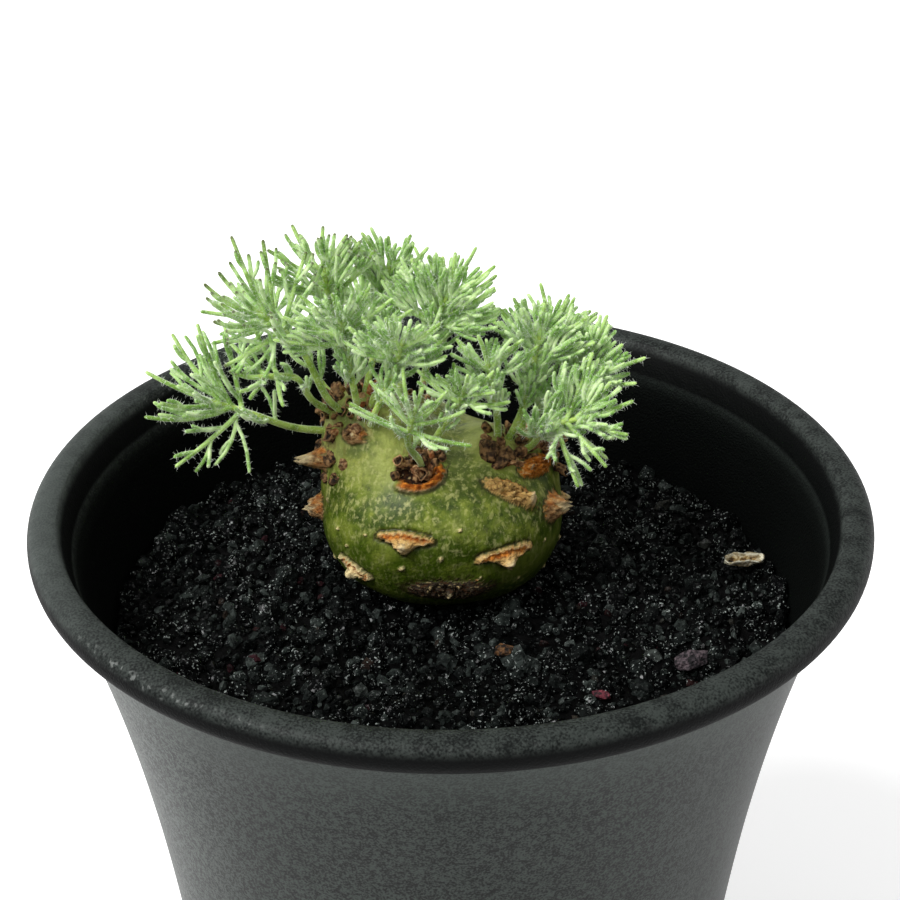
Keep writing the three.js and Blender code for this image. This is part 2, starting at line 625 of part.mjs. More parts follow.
class Leaf {
  constructor(index, [name, foot, hub, aim, face, reach, pairs, spread], canopy) {
    this.name = name;
    this.index = index;
    this.foot = new THREE.Vector3(...foot);
    this.hub = new THREE.Vector3(...hub);
    this.aim = new THREE.Vector3(...aim).normalize();
    this.face = new THREE.Vector3(...face).normalize();
    this.reach = reach;
    this.pairs = pairs;
    this.spread = THREE.MathUtils.degToRad(spread);
    this.canopy = canopy;
    this.random = seededRandom(LEAF_SEED + index);
    this.skin = new BranchSkin();
    this.branches = 0;
    this.buds = [];
  }

  // The petiole starts just clear of the stem and bends from the stem's own direction to the blade's aim
  petiole() {
    const direction = this.foot.clone().sub(STEM_CENTRE).normalize();
    const start = stemPoint(direction, LEAF_GAP + PETIOLE_RADIUS * PETIOLE_SEAT);
    const outward = stemNormal(direction);
    const length = start.distanceTo(this.hub);
    const bend = start.clone().addScaledVector(outward, length * PETIOLE_BEND);
    const lead = this.hub.clone().addScaledVector(this.aim, -length * PETIOLE_LEAD);
    return new THREE.CubicBezierCurve3(start, bend, lead, this.hub);
  }

  jitter(amount) {
    return (this.random() * 2 - 1) * amount;
  }

  grow() {
    const curve = this.petiole();
    let previous = null;
    let centre = null;
    for (let step = 0; step <= PETIOLE_STEPS; step += 1) {
      const share = step / PETIOLE_STEPS;
      const next = curve.getPoint(share);
      const radius = PETIOLE_RADIUS + (RAY_RADIUS - PETIOLE_RADIUS) * share * PETIOLE_TAPER;
      const ring = this.skin.ring(next, curve.getTangent(share), this.face, radius);
      if (previous) {
        this.skin.join(previous, ring);
        this.canopy.add(centre, next, radius, this.index, 0);
      } else {
        const under = next.clone().addScaledVector(curve.getTangent(0), -PETIOLE_RADIUS * PETIOLE_ROOT);
        const root = this.skin.points.push(under) - 1;
        [0, 1, 2].forEach((side) => this.skin.triangle(ring[(side + 1) % 3], ring[side], root));
      }
      previous = ring;
      centre = next;
    }
    this.hubRays(previous, centre);
    return this;
  }

  // Pairs of side rays leave the axis one after the other, the widest first, and the axis ends as the last ray
  hubRays(ring, centre) {
    let previous = ring;
    let at = centre;
    const side = this.face.clone().cross(this.aim).normalize();
    const waiting = [];
    for (let pair = 0; pair < this.pairs; pair += 1) {
      const next = at.clone().addScaledVector(this.aim, HUB_STEP);
      const upper = this.skin.ring(next, this.aim, this.face, RAY_RADIUS);
      const slots = this.skin.join(previous, upper);
      this.canopy.add(at, next, RAY_RADIUS, this.index, 0);
      const angle = this.spread * (1 - pair / (this.pairs + PAIR_CLOSING));
      waiting.push({ slots, pair, angle });
      previous = upper;
      at = next;
    }
    this.ray(previous, at, this.aim, this.reach - this.pairs * HUB_STEP);
    for (const { slots, pair, angle } of waiting) {
      for (const [slot, sign] of [[SLOT_LEFT, -1], [SLOT_RIGHT, 1]]) {
        const length = this.reach * (PAIR_REACH + PAIR_GAIN * pair) - pair * HUB_STEP * PAIR_LOSS;
        const lean = this.aim.clone().multiplyScalar(Math.cos(angle))
          .addScaledVector(side, sign * Math.sin(angle))
          .addScaledVector(this.face, PAIR_CUP + this.jitter(PAIR_CUP_JITTER));
        this.sideRay(slots[slot], lean.normalize(), length);
      }
    }
    for (const { slots, pair, angle } of waiting.slice(0, UNDER_RAYS)) {
      const lean = this.aim.clone()
        .addScaledVector(this.face, -UNDER_REACH)
        .addScaledVector(side, pair - UNDER_SPLAY);
      this.sideRay(slots[SLOT_UNDER], lean.normalize(), this.reach * UNDER_REACH * Math.min(1, angle));
    }
  }

  tryDirections(direction, fits) {
    for (let attempt = 0; attempt < TRIES; attempt += 1) {
      const amount = attempt === 0 ? 0 : WOBBLE * (WOBBLE_START + attempt / TRIES);
      const turned = direction.clone().add(new THREE.Vector3(
        this.jitter(amount), this.jitter(amount), this.jitter(amount),
      )).normalize();
      if (fits(turned)) {
        return turned;
      }
    }
    return null;
  }

  slotFrame(slot) {
    const corners = this.skin.triangles[slot].map((i) => this.skin.points[i]);
    const middle = corners.reduce((sum, p) => sum.add(p), new THREE.Vector3()).divideScalar(3);
    const outward = corners[1].clone().sub(corners[0]).cross(corners[2].clone().sub(corners[0])).normalize();
    return { middle, outward };
  }

  fits(start, end, radius, family) {
    return this.canopy.clearOfLeaves(start, end, radius, this.index, family)
      && this.canopy.clearOfStem(start, end, radius);
  }

  sideRay(slot, direction, length) {
    const { middle, outward } = this.slotFrame(slot);
    const chosen = this.tryDirections(direction, (turned) => {
      if (turned.dot(outward) < RAY_LIFT) {
        turned.addScaledVector(outward, RAY_LIFT - turned.dot(outward)).normalize();
      }
      const start = middle.clone().addScaledVector(turned, RAY_CLEAR_FROM);
      const end = middle.clone().addScaledVector(turned, length);
      return this.fits(start, end, RAY_RADIUS, [0]);
    });
    if (!chosen) {
      return;
    }
    const centre = middle.clone().addScaledVector(chosen, RAY_ROOT);
    const base = this.skin.open(slot);
    const ring = this.skin.matched(base, this.skin.ring(centre, chosen, this.face, RAY_RADIUS));
    this.skin.join(base, ring);
    this.ray(ring, centre, chosen, length - RAY_ROOT);
  }

  ray(ring, centre, direction, length) {
    this.branches += 1;
    const branch = this.branches;
    const steps = Math.max(2, Math.round(length / RAY_STEP));
    const stride = (length - TIP_LENGTH) / steps;
    let previous = ring;
    let at = centre;
    for (let step = 0; step < steps; step += 1) {
      const next = at.clone().addScaledVector(direction, stride);
      const radius = RAY_RADIUS + ((TWIG_RADIUS - RAY_RADIUS) * (step + 1)) / steps;
      const upper = this.skin.matched(previous, this.skin.ring(next, direction, this.face, radius));
      const slots = this.skin.join(previous, upper);
      this.canopy.add(at, next, radius, this.index, branch);
      if (step > 0) {
        this.buds.push({ slots, direction, branch, step });
      }
      previous = upper;
      at = next;
    }
    this.skin.close(previous, at.clone().addScaledVector(direction, TIP_LENGTH));
  }

  // Two or three twigs leave each step of a ray, once every ray of every leaf has its place
  growTwigs() {
    for (const { slots, direction, branch, step } of this.buds) {
      for (const slot of [slots[step % 3], slots[(step + 1) % 3], slots[(step + 2) % 3]]) {
        this.twig(slot, direction, branch);
      }
    }
  }

  twig(slot, along, branch) {
    const { middle, outward } = this.slotFrame(slot);
    const length = TWIG_LENGTH * between(TWIG_LENGTHS, this.random);
    const wanted = along.clone().addScaledVector(outward, TWIG_LEAN + this.jitter(TWIG_JITTER)).normalize();
    const chosen = this.tryDirections(wanted, (turned) => {
      if (turned.dot(outward) < TWIG_LIFT) {
        return false;
      }
      const start = middle.clone().addScaledVector(turned, TWIG_CLEAR_FROM);
      const end = middle.clone().addScaledVector(turned, length);
      return this.fits(start, end, TWIG_RADIUS, [branch]);
    });
    if (!chosen) {
      return;
    }
    const end = middle.clone().addScaledVector(chosen, length - TIP_LENGTH);
    const base = this.skin.open(slot);
    const last = this.skin.matched(base, this.skin.ring(end, chosen, this.face, TWIG_RADIUS));
    this.skin.join(base, last);
    this.skin.close(last, end.clone().addScaledVector(chosen, TIP_LENGTH));
    this.branches += 1;
    const start = middle.clone().addScaledVector(chosen, TWIG_ROOT);
    this.canopy.add(start, end, TWIG_RADIUS, this.index, this.branches);
  }

  mesh() {
    const mesh = new THREE.Mesh(this.skin.geometry(), material(COLOURS.leaf, 0.75));
    mesh.name = this.name;
    return mesh;
  }
}

// Dried stubs of old leaves stand round a growing point, clear of the living petioles
function oldBases(canopy) {
  const random = seededRandom(OLD_BASE_SEED);
  const stubs = [];
  for (const [x, y, z, ringRadius, count, length] of OLD_BASES) {
    const middle = directionTo(x, y, z);
    const normal = stemNormal(middle);
    const side = new THREE.Vector3(0, 0, 1).cross(normal).normalize();
    const front = normal.clone().cross(side);
    for (let i = 0; i < count; i += 1) {
      const angle = (2 * Math.PI * (i + OLD_BASE_STAGGER * random())) / count;
      const place = stemPoint(middle)
        .addScaledVector(side, ringRadius * Math.cos(angle) * between(OLD_BASE_SPREAD, random))
        .addScaledVector(front, ringRadius * Math.sin(angle) * between(OLD_BASE_SPREAD, random));
      const direction = place.sub(STEM_CENTRE).normalize();
      const foot = stemPoint(direction, -OLD_BASE_SINK);
      const lean = stemNormal(direction)
        .addScaledVector(side, OLD_BASE_LEAN * Math.cos(angle))
        .addScaledVector(front, OLD_BASE_LEAN * Math.sin(angle))
        .normalize();
      const height = length * between(OLD_BASE_LENGTHS, random);
      const tip = foot.clone().addScaledVector(lean, OLD_BASE_SINK + height);
      if (canopy.clearOfLeaves(foot, tip, OLD_BASE_RADIUS, -1, [])) {
        stubs.push(stub(foot, tip, lean));
      }
    }
  }
  return stubs;
}

function stub(foot, tip, lean) {
  const side = new THREE.Vector3(0.3, 0.2, 1).cross(lean).normalize();
  const front = lean.clone().cross(side);
  const ring = (centre, radius) => Array.from({ length: OLD_BASE_SIDES }, (_, i) => {
    const angle = (2 * Math.PI * i) / OLD_BASE_SIDES;
    return centre.clone()
      .addScaledVector(side, radius * Math.cos(angle))
      .addScaledVector(front, radius * Math.sin(angle));
  });
  const middle = foot.clone().lerp(tip, BEAK_SHARE);
  const rings = [ring(foot, OLD_BASE_RADIUS), ring(middle, OLD_BASE_RADIUS * OLD_BASE_WAIST)];
  return skinBetweenRings(rings, foot, tip);
}

function caudexMesh(canopy) {
  let solid = toSolid(stemBody()).add(toSolid(taproot()));
  for (const row of SCARS) {
    solid = solid.add(toSolid(scar(row)));
  }
  for (const piece of oldBases(canopy)) {
    solid = solid.add(toSolid(piece));
  }
  const mesh = new THREE.Mesh(toGeometry(solid), material(COLOURS.stem, 0.5));
  mesh.name = 'caudex';
  return mesh;
}

// Loose pieces on the soil

// Lowers or lifts a loose piece until it lies just clear of the soil under its own points
function settle(mesh, ground) {
  mesh.updateMatrixWorld(true);
  const positions = mesh.geometry.getAttribute('position');
  const down = new THREE.Vector3(0, 0, -1);
  let lift = -Infinity;
  for (let i = 0; i < positions.count; i += 1) {
    const point = new THREE.Vector3().fromBufferAttribute(positions, i).applyMatrix4(mesh.matrixWorld);
    const above = point.clone().setZ(POT_HEIGHT);
    const [hit] = new THREE.Raycaster(above, down).intersectObject(ground);
    const under = hit ? hit.point.z : SOIL_TOP;
    lift = Math.max(lift, under + GRAIN_CLEARANCE - point.z);
  }
  mesh.position.z += lift;
  return mesh;
}

function grainMesh([name, x, y, half, turn, tilt, colour]) {
  const random = seededRandom(GRAIN_SEED * name.length);
  const geometry = new THREE.IcosahedronGeometry(1, 0);
  geometry.deleteAttribute('normal');
  geometry.deleteAttribute('uv');
  const merged = mergeVertices(geometry, WELD);
  const positions = merged.getAttribute('position');
  for (let i = 0; i < positions.count; i += 1) {
    const scale = between(GRAIN_CORNERS, random);
    positions.setXYZ(i, positions.getX(i) * scale, positions.getY(i) * scale, positions.getZ(i) * scale);
  }
  merged.scale(...half);
  const mesh = new THREE.Mesh(merged, material(colour, 0.85));
  mesh.name = name;
  mesh.position.set(x, y, SOIL_TOP);
  mesh.rotation.set(tilt, 0, turn);
  return mesh;
}

// A thin, torn flake of bark: a spindle outline, thick along its middle and curled up at both ends
function flakeMesh() {
  const [length, width, thickness, curl] = FLAKE_SIZE;
  const rings = [];
  for (let step = 1; step < FLAKE_STEPS; step += 1) {
    const share = step / FLAKE_STEPS;
    const across = width * Math.sin(Math.PI * share) ** FLAKE_BLUNTNESS;
    const x = length * (share - 0.5);
    const z = curl * (2 * share - 1) ** 2;
    rings.push(FLAKE_SECTION.map(([u, v]) => (
      new THREE.Vector3(x, (u * across) / 2, z + (v * thickness) / 2)
    )));
  }
  const start = new THREE.Vector3(-length / 2, 0, curl);
  const end = new THREE.Vector3(length / 2, 0, curl);
  const mesh = new THREE.Mesh(skinBetweenRings(rings, start, end), material(COLOURS.bark, 0.8));
  mesh.name = 'bark_flake';
  mesh.position.set(...FLAKE_PLACE, SOIL_TOP);
  mesh.rotation.set(...FLAKE_TURN);
  return mesh;
}

const part = new THREE.Group();

const pot = new THREE.Mesh(potGeometry(), material(COLOURS.pot, 0.6));
pot.name = 'pot';
const soil = new THREE.Mesh(soilGeometry(), material(COLOURS.soil, 0.95));
soil.name = 'soil';
part.add(pot, soil);

const canopy = new Canopy();
const leaves = LEAVES.map((row, index) => new Leaf(index, row, canopy).grow());
leaves.forEach((leaf) => leaf.growTwigs());
part.add(caudexMesh(canopy));
leaves.forEach((leaf) => part.add(leaf.mesh()));
GRAINS.forEach((row) => part.add(settle(grainMesh(row), soil)));
part.add(settle(flakeMesh(), soil));

export default part;
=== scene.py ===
"""Looks of a potted dwarf succulent: flared nursery pot, gritty soil, swollen stem, brush-like leaves."""

import logging
import math
from dataclasses import dataclass, field
from enum import Enum
from typing import Callable, Iterable, Sequence

import bmesh
import bpy
import numpy as np
from mathutils import Matrix, Vector, noise


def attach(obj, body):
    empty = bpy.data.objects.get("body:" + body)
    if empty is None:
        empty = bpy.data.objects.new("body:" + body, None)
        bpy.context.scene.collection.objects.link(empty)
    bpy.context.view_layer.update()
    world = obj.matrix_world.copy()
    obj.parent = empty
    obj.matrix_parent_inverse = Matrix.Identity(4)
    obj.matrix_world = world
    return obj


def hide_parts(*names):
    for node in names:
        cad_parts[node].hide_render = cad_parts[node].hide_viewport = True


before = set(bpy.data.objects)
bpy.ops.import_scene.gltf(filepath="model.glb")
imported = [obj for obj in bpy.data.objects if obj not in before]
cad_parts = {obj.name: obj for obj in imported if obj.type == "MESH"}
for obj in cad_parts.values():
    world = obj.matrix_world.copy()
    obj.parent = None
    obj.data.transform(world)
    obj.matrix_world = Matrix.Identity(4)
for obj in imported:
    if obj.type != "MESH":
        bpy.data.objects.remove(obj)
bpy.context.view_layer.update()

LOG = logging.getLogger("potted_succulent")
MM = 0.001
BODY = "root"
GOLDEN_ANGLE = math.pi * (3 - math.sqrt(5))

Triple = tuple[float, float, float]
Point = np.ndarray


def vec(x: float, y: float, z: float) -> Point:
    """Returns a point in millimetres."""
    return np.array([x, y, z], dtype=float)


def unit(vector: Point) -> Point:
    """Returns the vector at length one."""
    return vector / math.sqrt(float(vector @ vector))


def smooth(low: float, high: float, value: np.ndarray) -> np.ndarray:
    """Returns a soft step from 0 at low to 1 at high."""
    share = np.clip((value - low) / (high - low), 0, 1)
    return share * share * (3 - 2 * share)


def ridge(value: np.ndarray, middle: float, width: float) -> np.ndarray:
    """Returns a bell curve that is 1 where the value is at its middle."""
    return np.exp(-(((value - middle) / width) ** 2))


def wobble(points: np.ndarray, scale: float) -> np.ndarray:
    """Returns a smooth noise vector at each point; a larger scale makes finer waves."""
    shifts = (vec(0, 0, 0), vec(17, 5, 3), vec(4, 29, 11))
    return np.array([[noise.noise(Vector(point * scale + shift)) for shift in shifts] for point in points])


def srgb(red: int, green: int, blue: int) -> tuple[float, float, float, float]:
    """Turns a screen colour of 0 to 255 into a linear one with full alpha."""
    shares = (red / 255, green / 255, blue / 255)
    linear = [share / 12.92 if share <= 0.04045 else ((share + 0.055) / 1.055) ** 2.4 for share in shares]
    return (*linear, 1.0)


class SeededRandom:
    """The small 32-bit generator that the part's own source draws from, so that both grow the same plant."""

    def __init__(self, seed: int) -> None:
        """Starts the row of numbers at a seed."""
        self.state = seed & 0xFFFFFFFF

    def __call__(self) -> float:
        """Returns the next number from 0 to 1."""
        self.state = (self.state + 0x6D2B79F5) & 0xFFFFFFFF
        mixed = ((self.state ^ (self.state >> 15)) * (self.state | 1)) & 0xFFFFFFFF
        mixed ^= (mixed + (((mixed ^ (mixed >> 7)) * (mixed | 61)) & 0xFFFFFFFF)) & 0xFFFFFFFF
        return (mixed ^ (mixed >> 14)) / 4294967296

    def between(self, low: float, high: float) -> float:
        """Returns the next number from low to high."""
        return low + (high - low) * self()


class Num:
    """A number socket that Python sums turn into Math nodes."""

    def __init__(self, shader: "Shader", socket: bpy.types.NodeSocket) -> None:
        """Wraps one output socket."""
        self.shader = shader
        self.socket = socket

    def _math(self, operation: str, first: "Num | float", second: "Num | float" = 0.0) -> "Num":
        """Adds one Math node."""
        made = self.shader.node("ShaderNodeMath", {"operation": operation}, {0: first, 1: second})
        return Num(self.shader, made.outputs[0])

    def __add__(self, other: "Num | float") -> "Num":
        """Adds."""
        return self._math("ADD", self, other)

    def __radd__(self, other: float) -> "Num":
        """Adds from the left."""
        return self._math("ADD", other, self)

    def __sub__(self, other: "Num | float") -> "Num":
        """Subtracts."""
        return self._math("SUBTRACT", self, other)

    def __rsub__(self, other: float) -> "Num":
        """Subtracts from a number."""
        return self._math("SUBTRACT", other, self)

    def __mul__(self, other: "Num | float") -> "Num":
        """Multiplies."""
        return self._math("MULTIPLY", self, other)


class NodeTree:
    """A node tree with a short way to add and join nodes."""

    tree: bpy.types.NodeTree

    def set_socket(self, socket: bpy.types.NodeSocket, value: object) -> None:
        """Links a socket to a Num or a socket, or gives it a plain value."""
        if isinstance(value, Num):
            value = value.socket
        if isinstance(value, bpy.types.NodeSocket):
            self.tree.links.new(value, socket)
        else:
            socket.default_value = value

    def node(self, kind: str, settings: dict | None = None, inputs: dict | None = None) -> bpy.types.Node:
        """Adds one node.

        Args:
            kind: the node's type.
            settings: its settings, set first; "stops" are a ramp's (place, colour) pairs.
            inputs: its sockets by name or number, each a value, a Num or a socket.

        Returns:
            The new node.
        """
        made = self.tree.nodes.new(kind)
        for name, value in (settings or {}).items():
            if name == "stops":
                ramp = made.color_ramp
                while len(ramp.elements) < len(value):
                    ramp.elements.new(1.0)
                for element, (place, colour) in zip(ramp.elements, value):
                    element.position, element.color = place, colour
            else:
                setattr(made, name, value)
        for key, value in (inputs or {}).items():
            self.set_socket(made.inputs[key], value)
        return made


class Shader(NodeTree):
    """One material: a Principled shader and the few node makers that the finishes use."""

    def __init__(self, name: str, roughness: float, **fixed: float | tuple) -> None:
        """Makes the material.

        Args:
            name: the material's name.
            roughness: the even roughness, where no pattern is given later.
            fixed: Principled sockets that are the same all over, with _ for a space.
        """
        self.material = bpy.data.materials.new(name)
        self.material.use_nodes = True
        self.tree = self.material.node_tree
        self.surface = self.tree.nodes["Principled BSDF"]
        self.surface.inputs["Roughness"].default_value = roughness
        for socket, value in fixed.items():
            self.surface.inputs[socket.replace("_", " ")].default_value = value

    def position(self) -> bpy.types.NodeSocket:
        """Returns the place on the object in metres."""
        return self.node("ShaderNodeTexCoord").outputs["Object"]

    def axis(self, name: str) -> Num:
        """Returns one coordinate in metres."""
        return Num(self, self.node("ShaderNodeSeparateXYZ", {}, {0: self.position()}).outputs[name])

    def height(self) -> Num:
        """Returns the height above the ground in metres."""
        return self.axis("Z")

    def leftward(self) -> Num:
        """Returns the distance to the left of the middle in metres."""
        return 0 - self.axis("X")

    def facing(self) -> Num:
        """Returns how far the surface turns away from the view, for gloss alone."""
        return Num(self, self.node("ShaderNodeLayerWeight", {}, {"Blend": 0.5}).outputs["Facing"])

    def noise(self, size_mm: float, detail: float = 3.0, stretch: Triple = (1, 1, 1)) -> Num:
        """Returns soft noise whose spots are about size_mm wide."""
        place = self.node("ShaderNodeMapping", {}, {"Vector": self.position(), "Scale": stretch}).outputs[0]
        made = self.node("ShaderNodeTexNoise", {}, {
            "Vector": place, "Scale": 1 / (size_mm * MM), "Detail": detail,
        })
        return Num(self, made.outputs["Fac"])

    def attribute(self, name: str) -> Num:
        """Returns a mesh attribute by name."""
        return Num(self, self.node("ShaderNodeAttribute", {"attribute_name": name}).outputs["Fac"])

    def ramp(self, value: Num, *stops: tuple[float, tuple]) -> bpy.types.NodeSocket:
        """Returns colours along a number."""
        return self.node("ShaderNodeValToRGB", {"stops": stops}, {"Fac": value}).outputs["Color"]

    def step(self, value: Num, low: float, high: float) -> Num:
        """Returns 0 below low and 1 above high, softly between."""
        made = self.node("ShaderNodeMapRange", {"interpolation_type": "SMOOTHSTEP"}, {
            "Value": value, "From Min": low, "From Max": high,
        })
        return Num(self, made.outputs[0])

    def band(self, length: Num, low_mm: float, high_mm: float) -> Num:
        """Returns a soft step along a length in metres, between two places in millimetres."""
        return self.step(length, low_mm * MM, high_mm * MM)

    def mix(self, share: Num | float, first: object, second: object) -> bpy.types.NodeSocket:
        """Mixes two colours by a share from 0 to 1."""
        made = self.node("ShaderNodeMix", {"data_type": "RGBA"}, {0: share, 6: first, 7: second})
        return made.outputs[2]

    def layers(self, colour: bpy.types.NodeSocket, *coats: tuple[Num, object]) -> bpy.types.NodeSocket:
        """Lays coats over a first colour, each as a share from 0 to 1 and its colour."""
        for share, coat in coats:
            colour = self.mix(share, colour, coat)
        return colour

    def finish(self, colour: object, roughness: Num | None = None, relief: Num | None = None,
               depth_mm: float = 0.1) -> bpy.types.Material:
        """Feeds the shader.

        Args:
            colour: the base colour.
            roughness: a roughness that varies, or None to keep the even one.
            relief: the height of the fine relief from 0 to 1, or None for none.
            depth_mm: how deep the relief is.

        Returns:
            The finished material.
        """
        self.set_socket(self.surface.inputs["Base Color"], colour)
        if roughness is not None:
            self.set_socket(self.surface.inputs["Roughness"], roughness)
        if relief is not None:
            bump = self.node("ShaderNodeBump", {}, {"Height": relief, "Distance": depth_mm * MM})
            self.set_socket(self.surface.inputs["Normal"], bump.outputs[0])
        return self.material


class Recipe(NodeTree):
    """A geometry node tree with named inputs, which ends in Realize Instances and Set Material."""

    def __init__(self, name: str) -> None:
        """Makes the empty tree with its geometry sockets."""
        self.tree = bpy.data.node_groups.new(name, "GeometryNodeTree")
        self.tree.interface.new_socket("Geometry", in_out="INPUT", socket_type="NodeSocketGeometry")
        self.tree.interface.new_socket("Geometry", in_out="OUTPUT", socket_type="NodeSocketGeometry")
        self.entry = self.tree.nodes.new("NodeGroupInput")
        self.exit = self.tree.nodes.new("NodeGroupOutput")
        self.values: dict[str, object] = {}

    def size(self, name: str, value: float, kind: str = "NodeSocketFloat") -> bpy.types.NodeSocket:
        """Adds a named input and returns its socket."""
        made = self.tree.interface.new_socket(name, in_out="INPUT", socket_type=kind)
        self.values[made.identifier] = value
        return self.entry.outputs[name]

    def attribute(self, name: str) -> bpy.types.NodeSocket:
        """Returns a mesh attribute by name."""
        made = self.node("GeometryNodeInputNamedAttribute", {"data_type": "FLOAT"}, {"Name": name})
        return made.outputs[0]

    def random(self, low: object, high: object, seed: object) -> bpy.types.NodeSocket:
        """Returns a random number for each point between two limits, or a vector between two vectors."""
        if isinstance(low, tuple):
            kind, first, result = "FLOAT_VECTOR", 0, 0
        else:
            kind, first, result = "FLOAT", 2, 1
        made = self.node("FunctionNodeRandomValue", {"data_type": kind}, {
            first: low, first + 1: high, "Seed": seed,
        })
        return made.outputs[result]

    def instances(self, points: bpy.types.Node, shape: bpy.types.Node, turn: bpy.types.NodeSocket,
                  scale: bpy.types.NodeSocket, pick: bool = False) -> bpy.types.NodeSocket:
        """Puts a shape, or one picked from a collection, on every point."""
        made = self.node("GeometryNodeInstanceOnPoints", {}, {
            "Points": points.outputs["Points"], "Instance": shape.outputs[0], "Pick Instance": pick,
            "Rotation": turn, "Scale": scale,
        })
        return made.outputs[0]

    def end(self, geometry: bpy.types.NodeSocket, material: bpy.types.Material) -> None:
        """Closes the tree."""
        real = self.node("GeometryNodeRealizeInstances", {}, {0: geometry})
        dressed = self.node("GeometryNodeSetMaterial", {}, {
            "Geometry": real.outputs[0], "Material": material,
        })
        self.tree.links.new(dressed.outputs[0], self.exit.inputs[0])

    def make(self, base: bpy.types.Object, name: str) -> bpy.types.Object:
        """Runs the tree on a base object and returns the result as a plain mesh object.

        Args:
            base: the object that the tree starts from; it is removed afterwards.
            name: the new piece's name.

        Returns:
            The new piece.
        """
        modifier = base.modifiers.new("recipe", "NODES")
        modifier.node_group = self.tree
        for identifier, value in self.values.items():
            modifier[identifier] = value
        depsgraph = bpy.context.evaluated_depsgraph_get()
        mesh = bpy.data.meshes.new_from_object(base.evaluated_get(depsgraph), depsgraph=depsgraph)
        base.modifiers.remove(modifier)
        bpy.data.objects.remove(base)
        mesh.name = name
        return show(mesh, name)


def show(mesh: bpy.types.Mesh, name: str) -> bpy.types.Object:
    """Puts a mesh into the scene as an object at the origin."""
    piece = bpy.data.objects.new(name, mesh)
    bpy.context.scene.collection.objects.link(piece)
    return piece


def mesh_from(name: str, points: np.ndarray, faces: Sequence, shade_smooth: bool = True,
              edges: Sequence = ()) -> bpy.types.Mesh:
    """Makes a mesh from points in millimetres.

    Args:
        name: the mesh's name.
        points: rows of x, y and z in millimetres.
        faces: rows of point numbers.
        shade_smooth: whether its faces are shaded smooth.
        edges: pairs of point numbers, for a mesh without faces.

    Returns:
        The mesh, in metres.
    """
    mesh = bpy.data.meshes.new(name)
    rows = faces.tolist() if isinstance(faces, np.ndarray) else [list(face) for face in faces]
    mesh.from_pydata((np.asarray(points) * MM).tolist(), [list(edge) for edge in edges], rows)
    mesh.validate()
    if rows:
        mesh.polygons.foreach_set("use_smooth", [shade_smooth] * len(mesh.polygons))
    mesh.update()
    return mesh


def add_attribute(mesh: bpy.types.Mesh, name: str, values: np.ndarray) -> None:
    """Stores one number for each point of a mesh."""
    layer = mesh.attributes.new(name, "FLOAT", "POINT")
    layer.data.foreach_set("value", np.asarray(values, dtype=np.float32))


def ring_faces(rings: int, sides: int, first: int = 0) -> np.ndarray:
    """Returns the four-sided faces between rings of points that follow each other."""
    ring, side = np.meshgrid(np.arange(rings - 1), np.arange(sides), indexing="ij")
    after = (side + 1) % sides
    here, there = first + ring * sides, first + (ring + 1) * sides
    return np.stack([here + side, here + after, there + after, there + side], -1).reshape(-1, 4)


def tube_faces(rings: int, sides: int, first: int = 0) -> list[tuple]:
    """Returns the faces of a closed tube: its rings, then a fan to each of the two points after them."""
    faces = [tuple(face) for face in ring_faces(rings, sides, first)]
    start = first + rings * sides
    last = start - sides
    for side in range(sides):
        after = (side + 1) % sides
        faces.append((start, first + after, first + side))
        faces.append((start + 1, last + side, last + after))
    return faces


def settle_piece(piece: bpy.types.Object, material: bpy.types.Material | None = None,
                 replaces: Iterable[str] = ()) -> bpy.types.Object:
    """Gives a piece its material, its body and the nodes it stands for."""
    if material is not None and not piece.data.materials:
        piece.data.materials.append(material)
    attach(piece, BODY)
    names = tuple(replaces)
    if names:
        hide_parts(*names)
    LOG.info("%s: %d points, %d faces", piece.name, len(piece.data.vertices), len(piece.data.polygons))
    return piece


class Slot(Enum):
    """The record's material slots."""

    POT = "pot_plastic"
    SOIL = "soil"
    STEM = "caudex_skin"
    LEAF = "leaf"
    PURPLE = "grain_purple"
    BROWN = "grain_brown"
    RED = "grain_red"
    BARK = "bark"


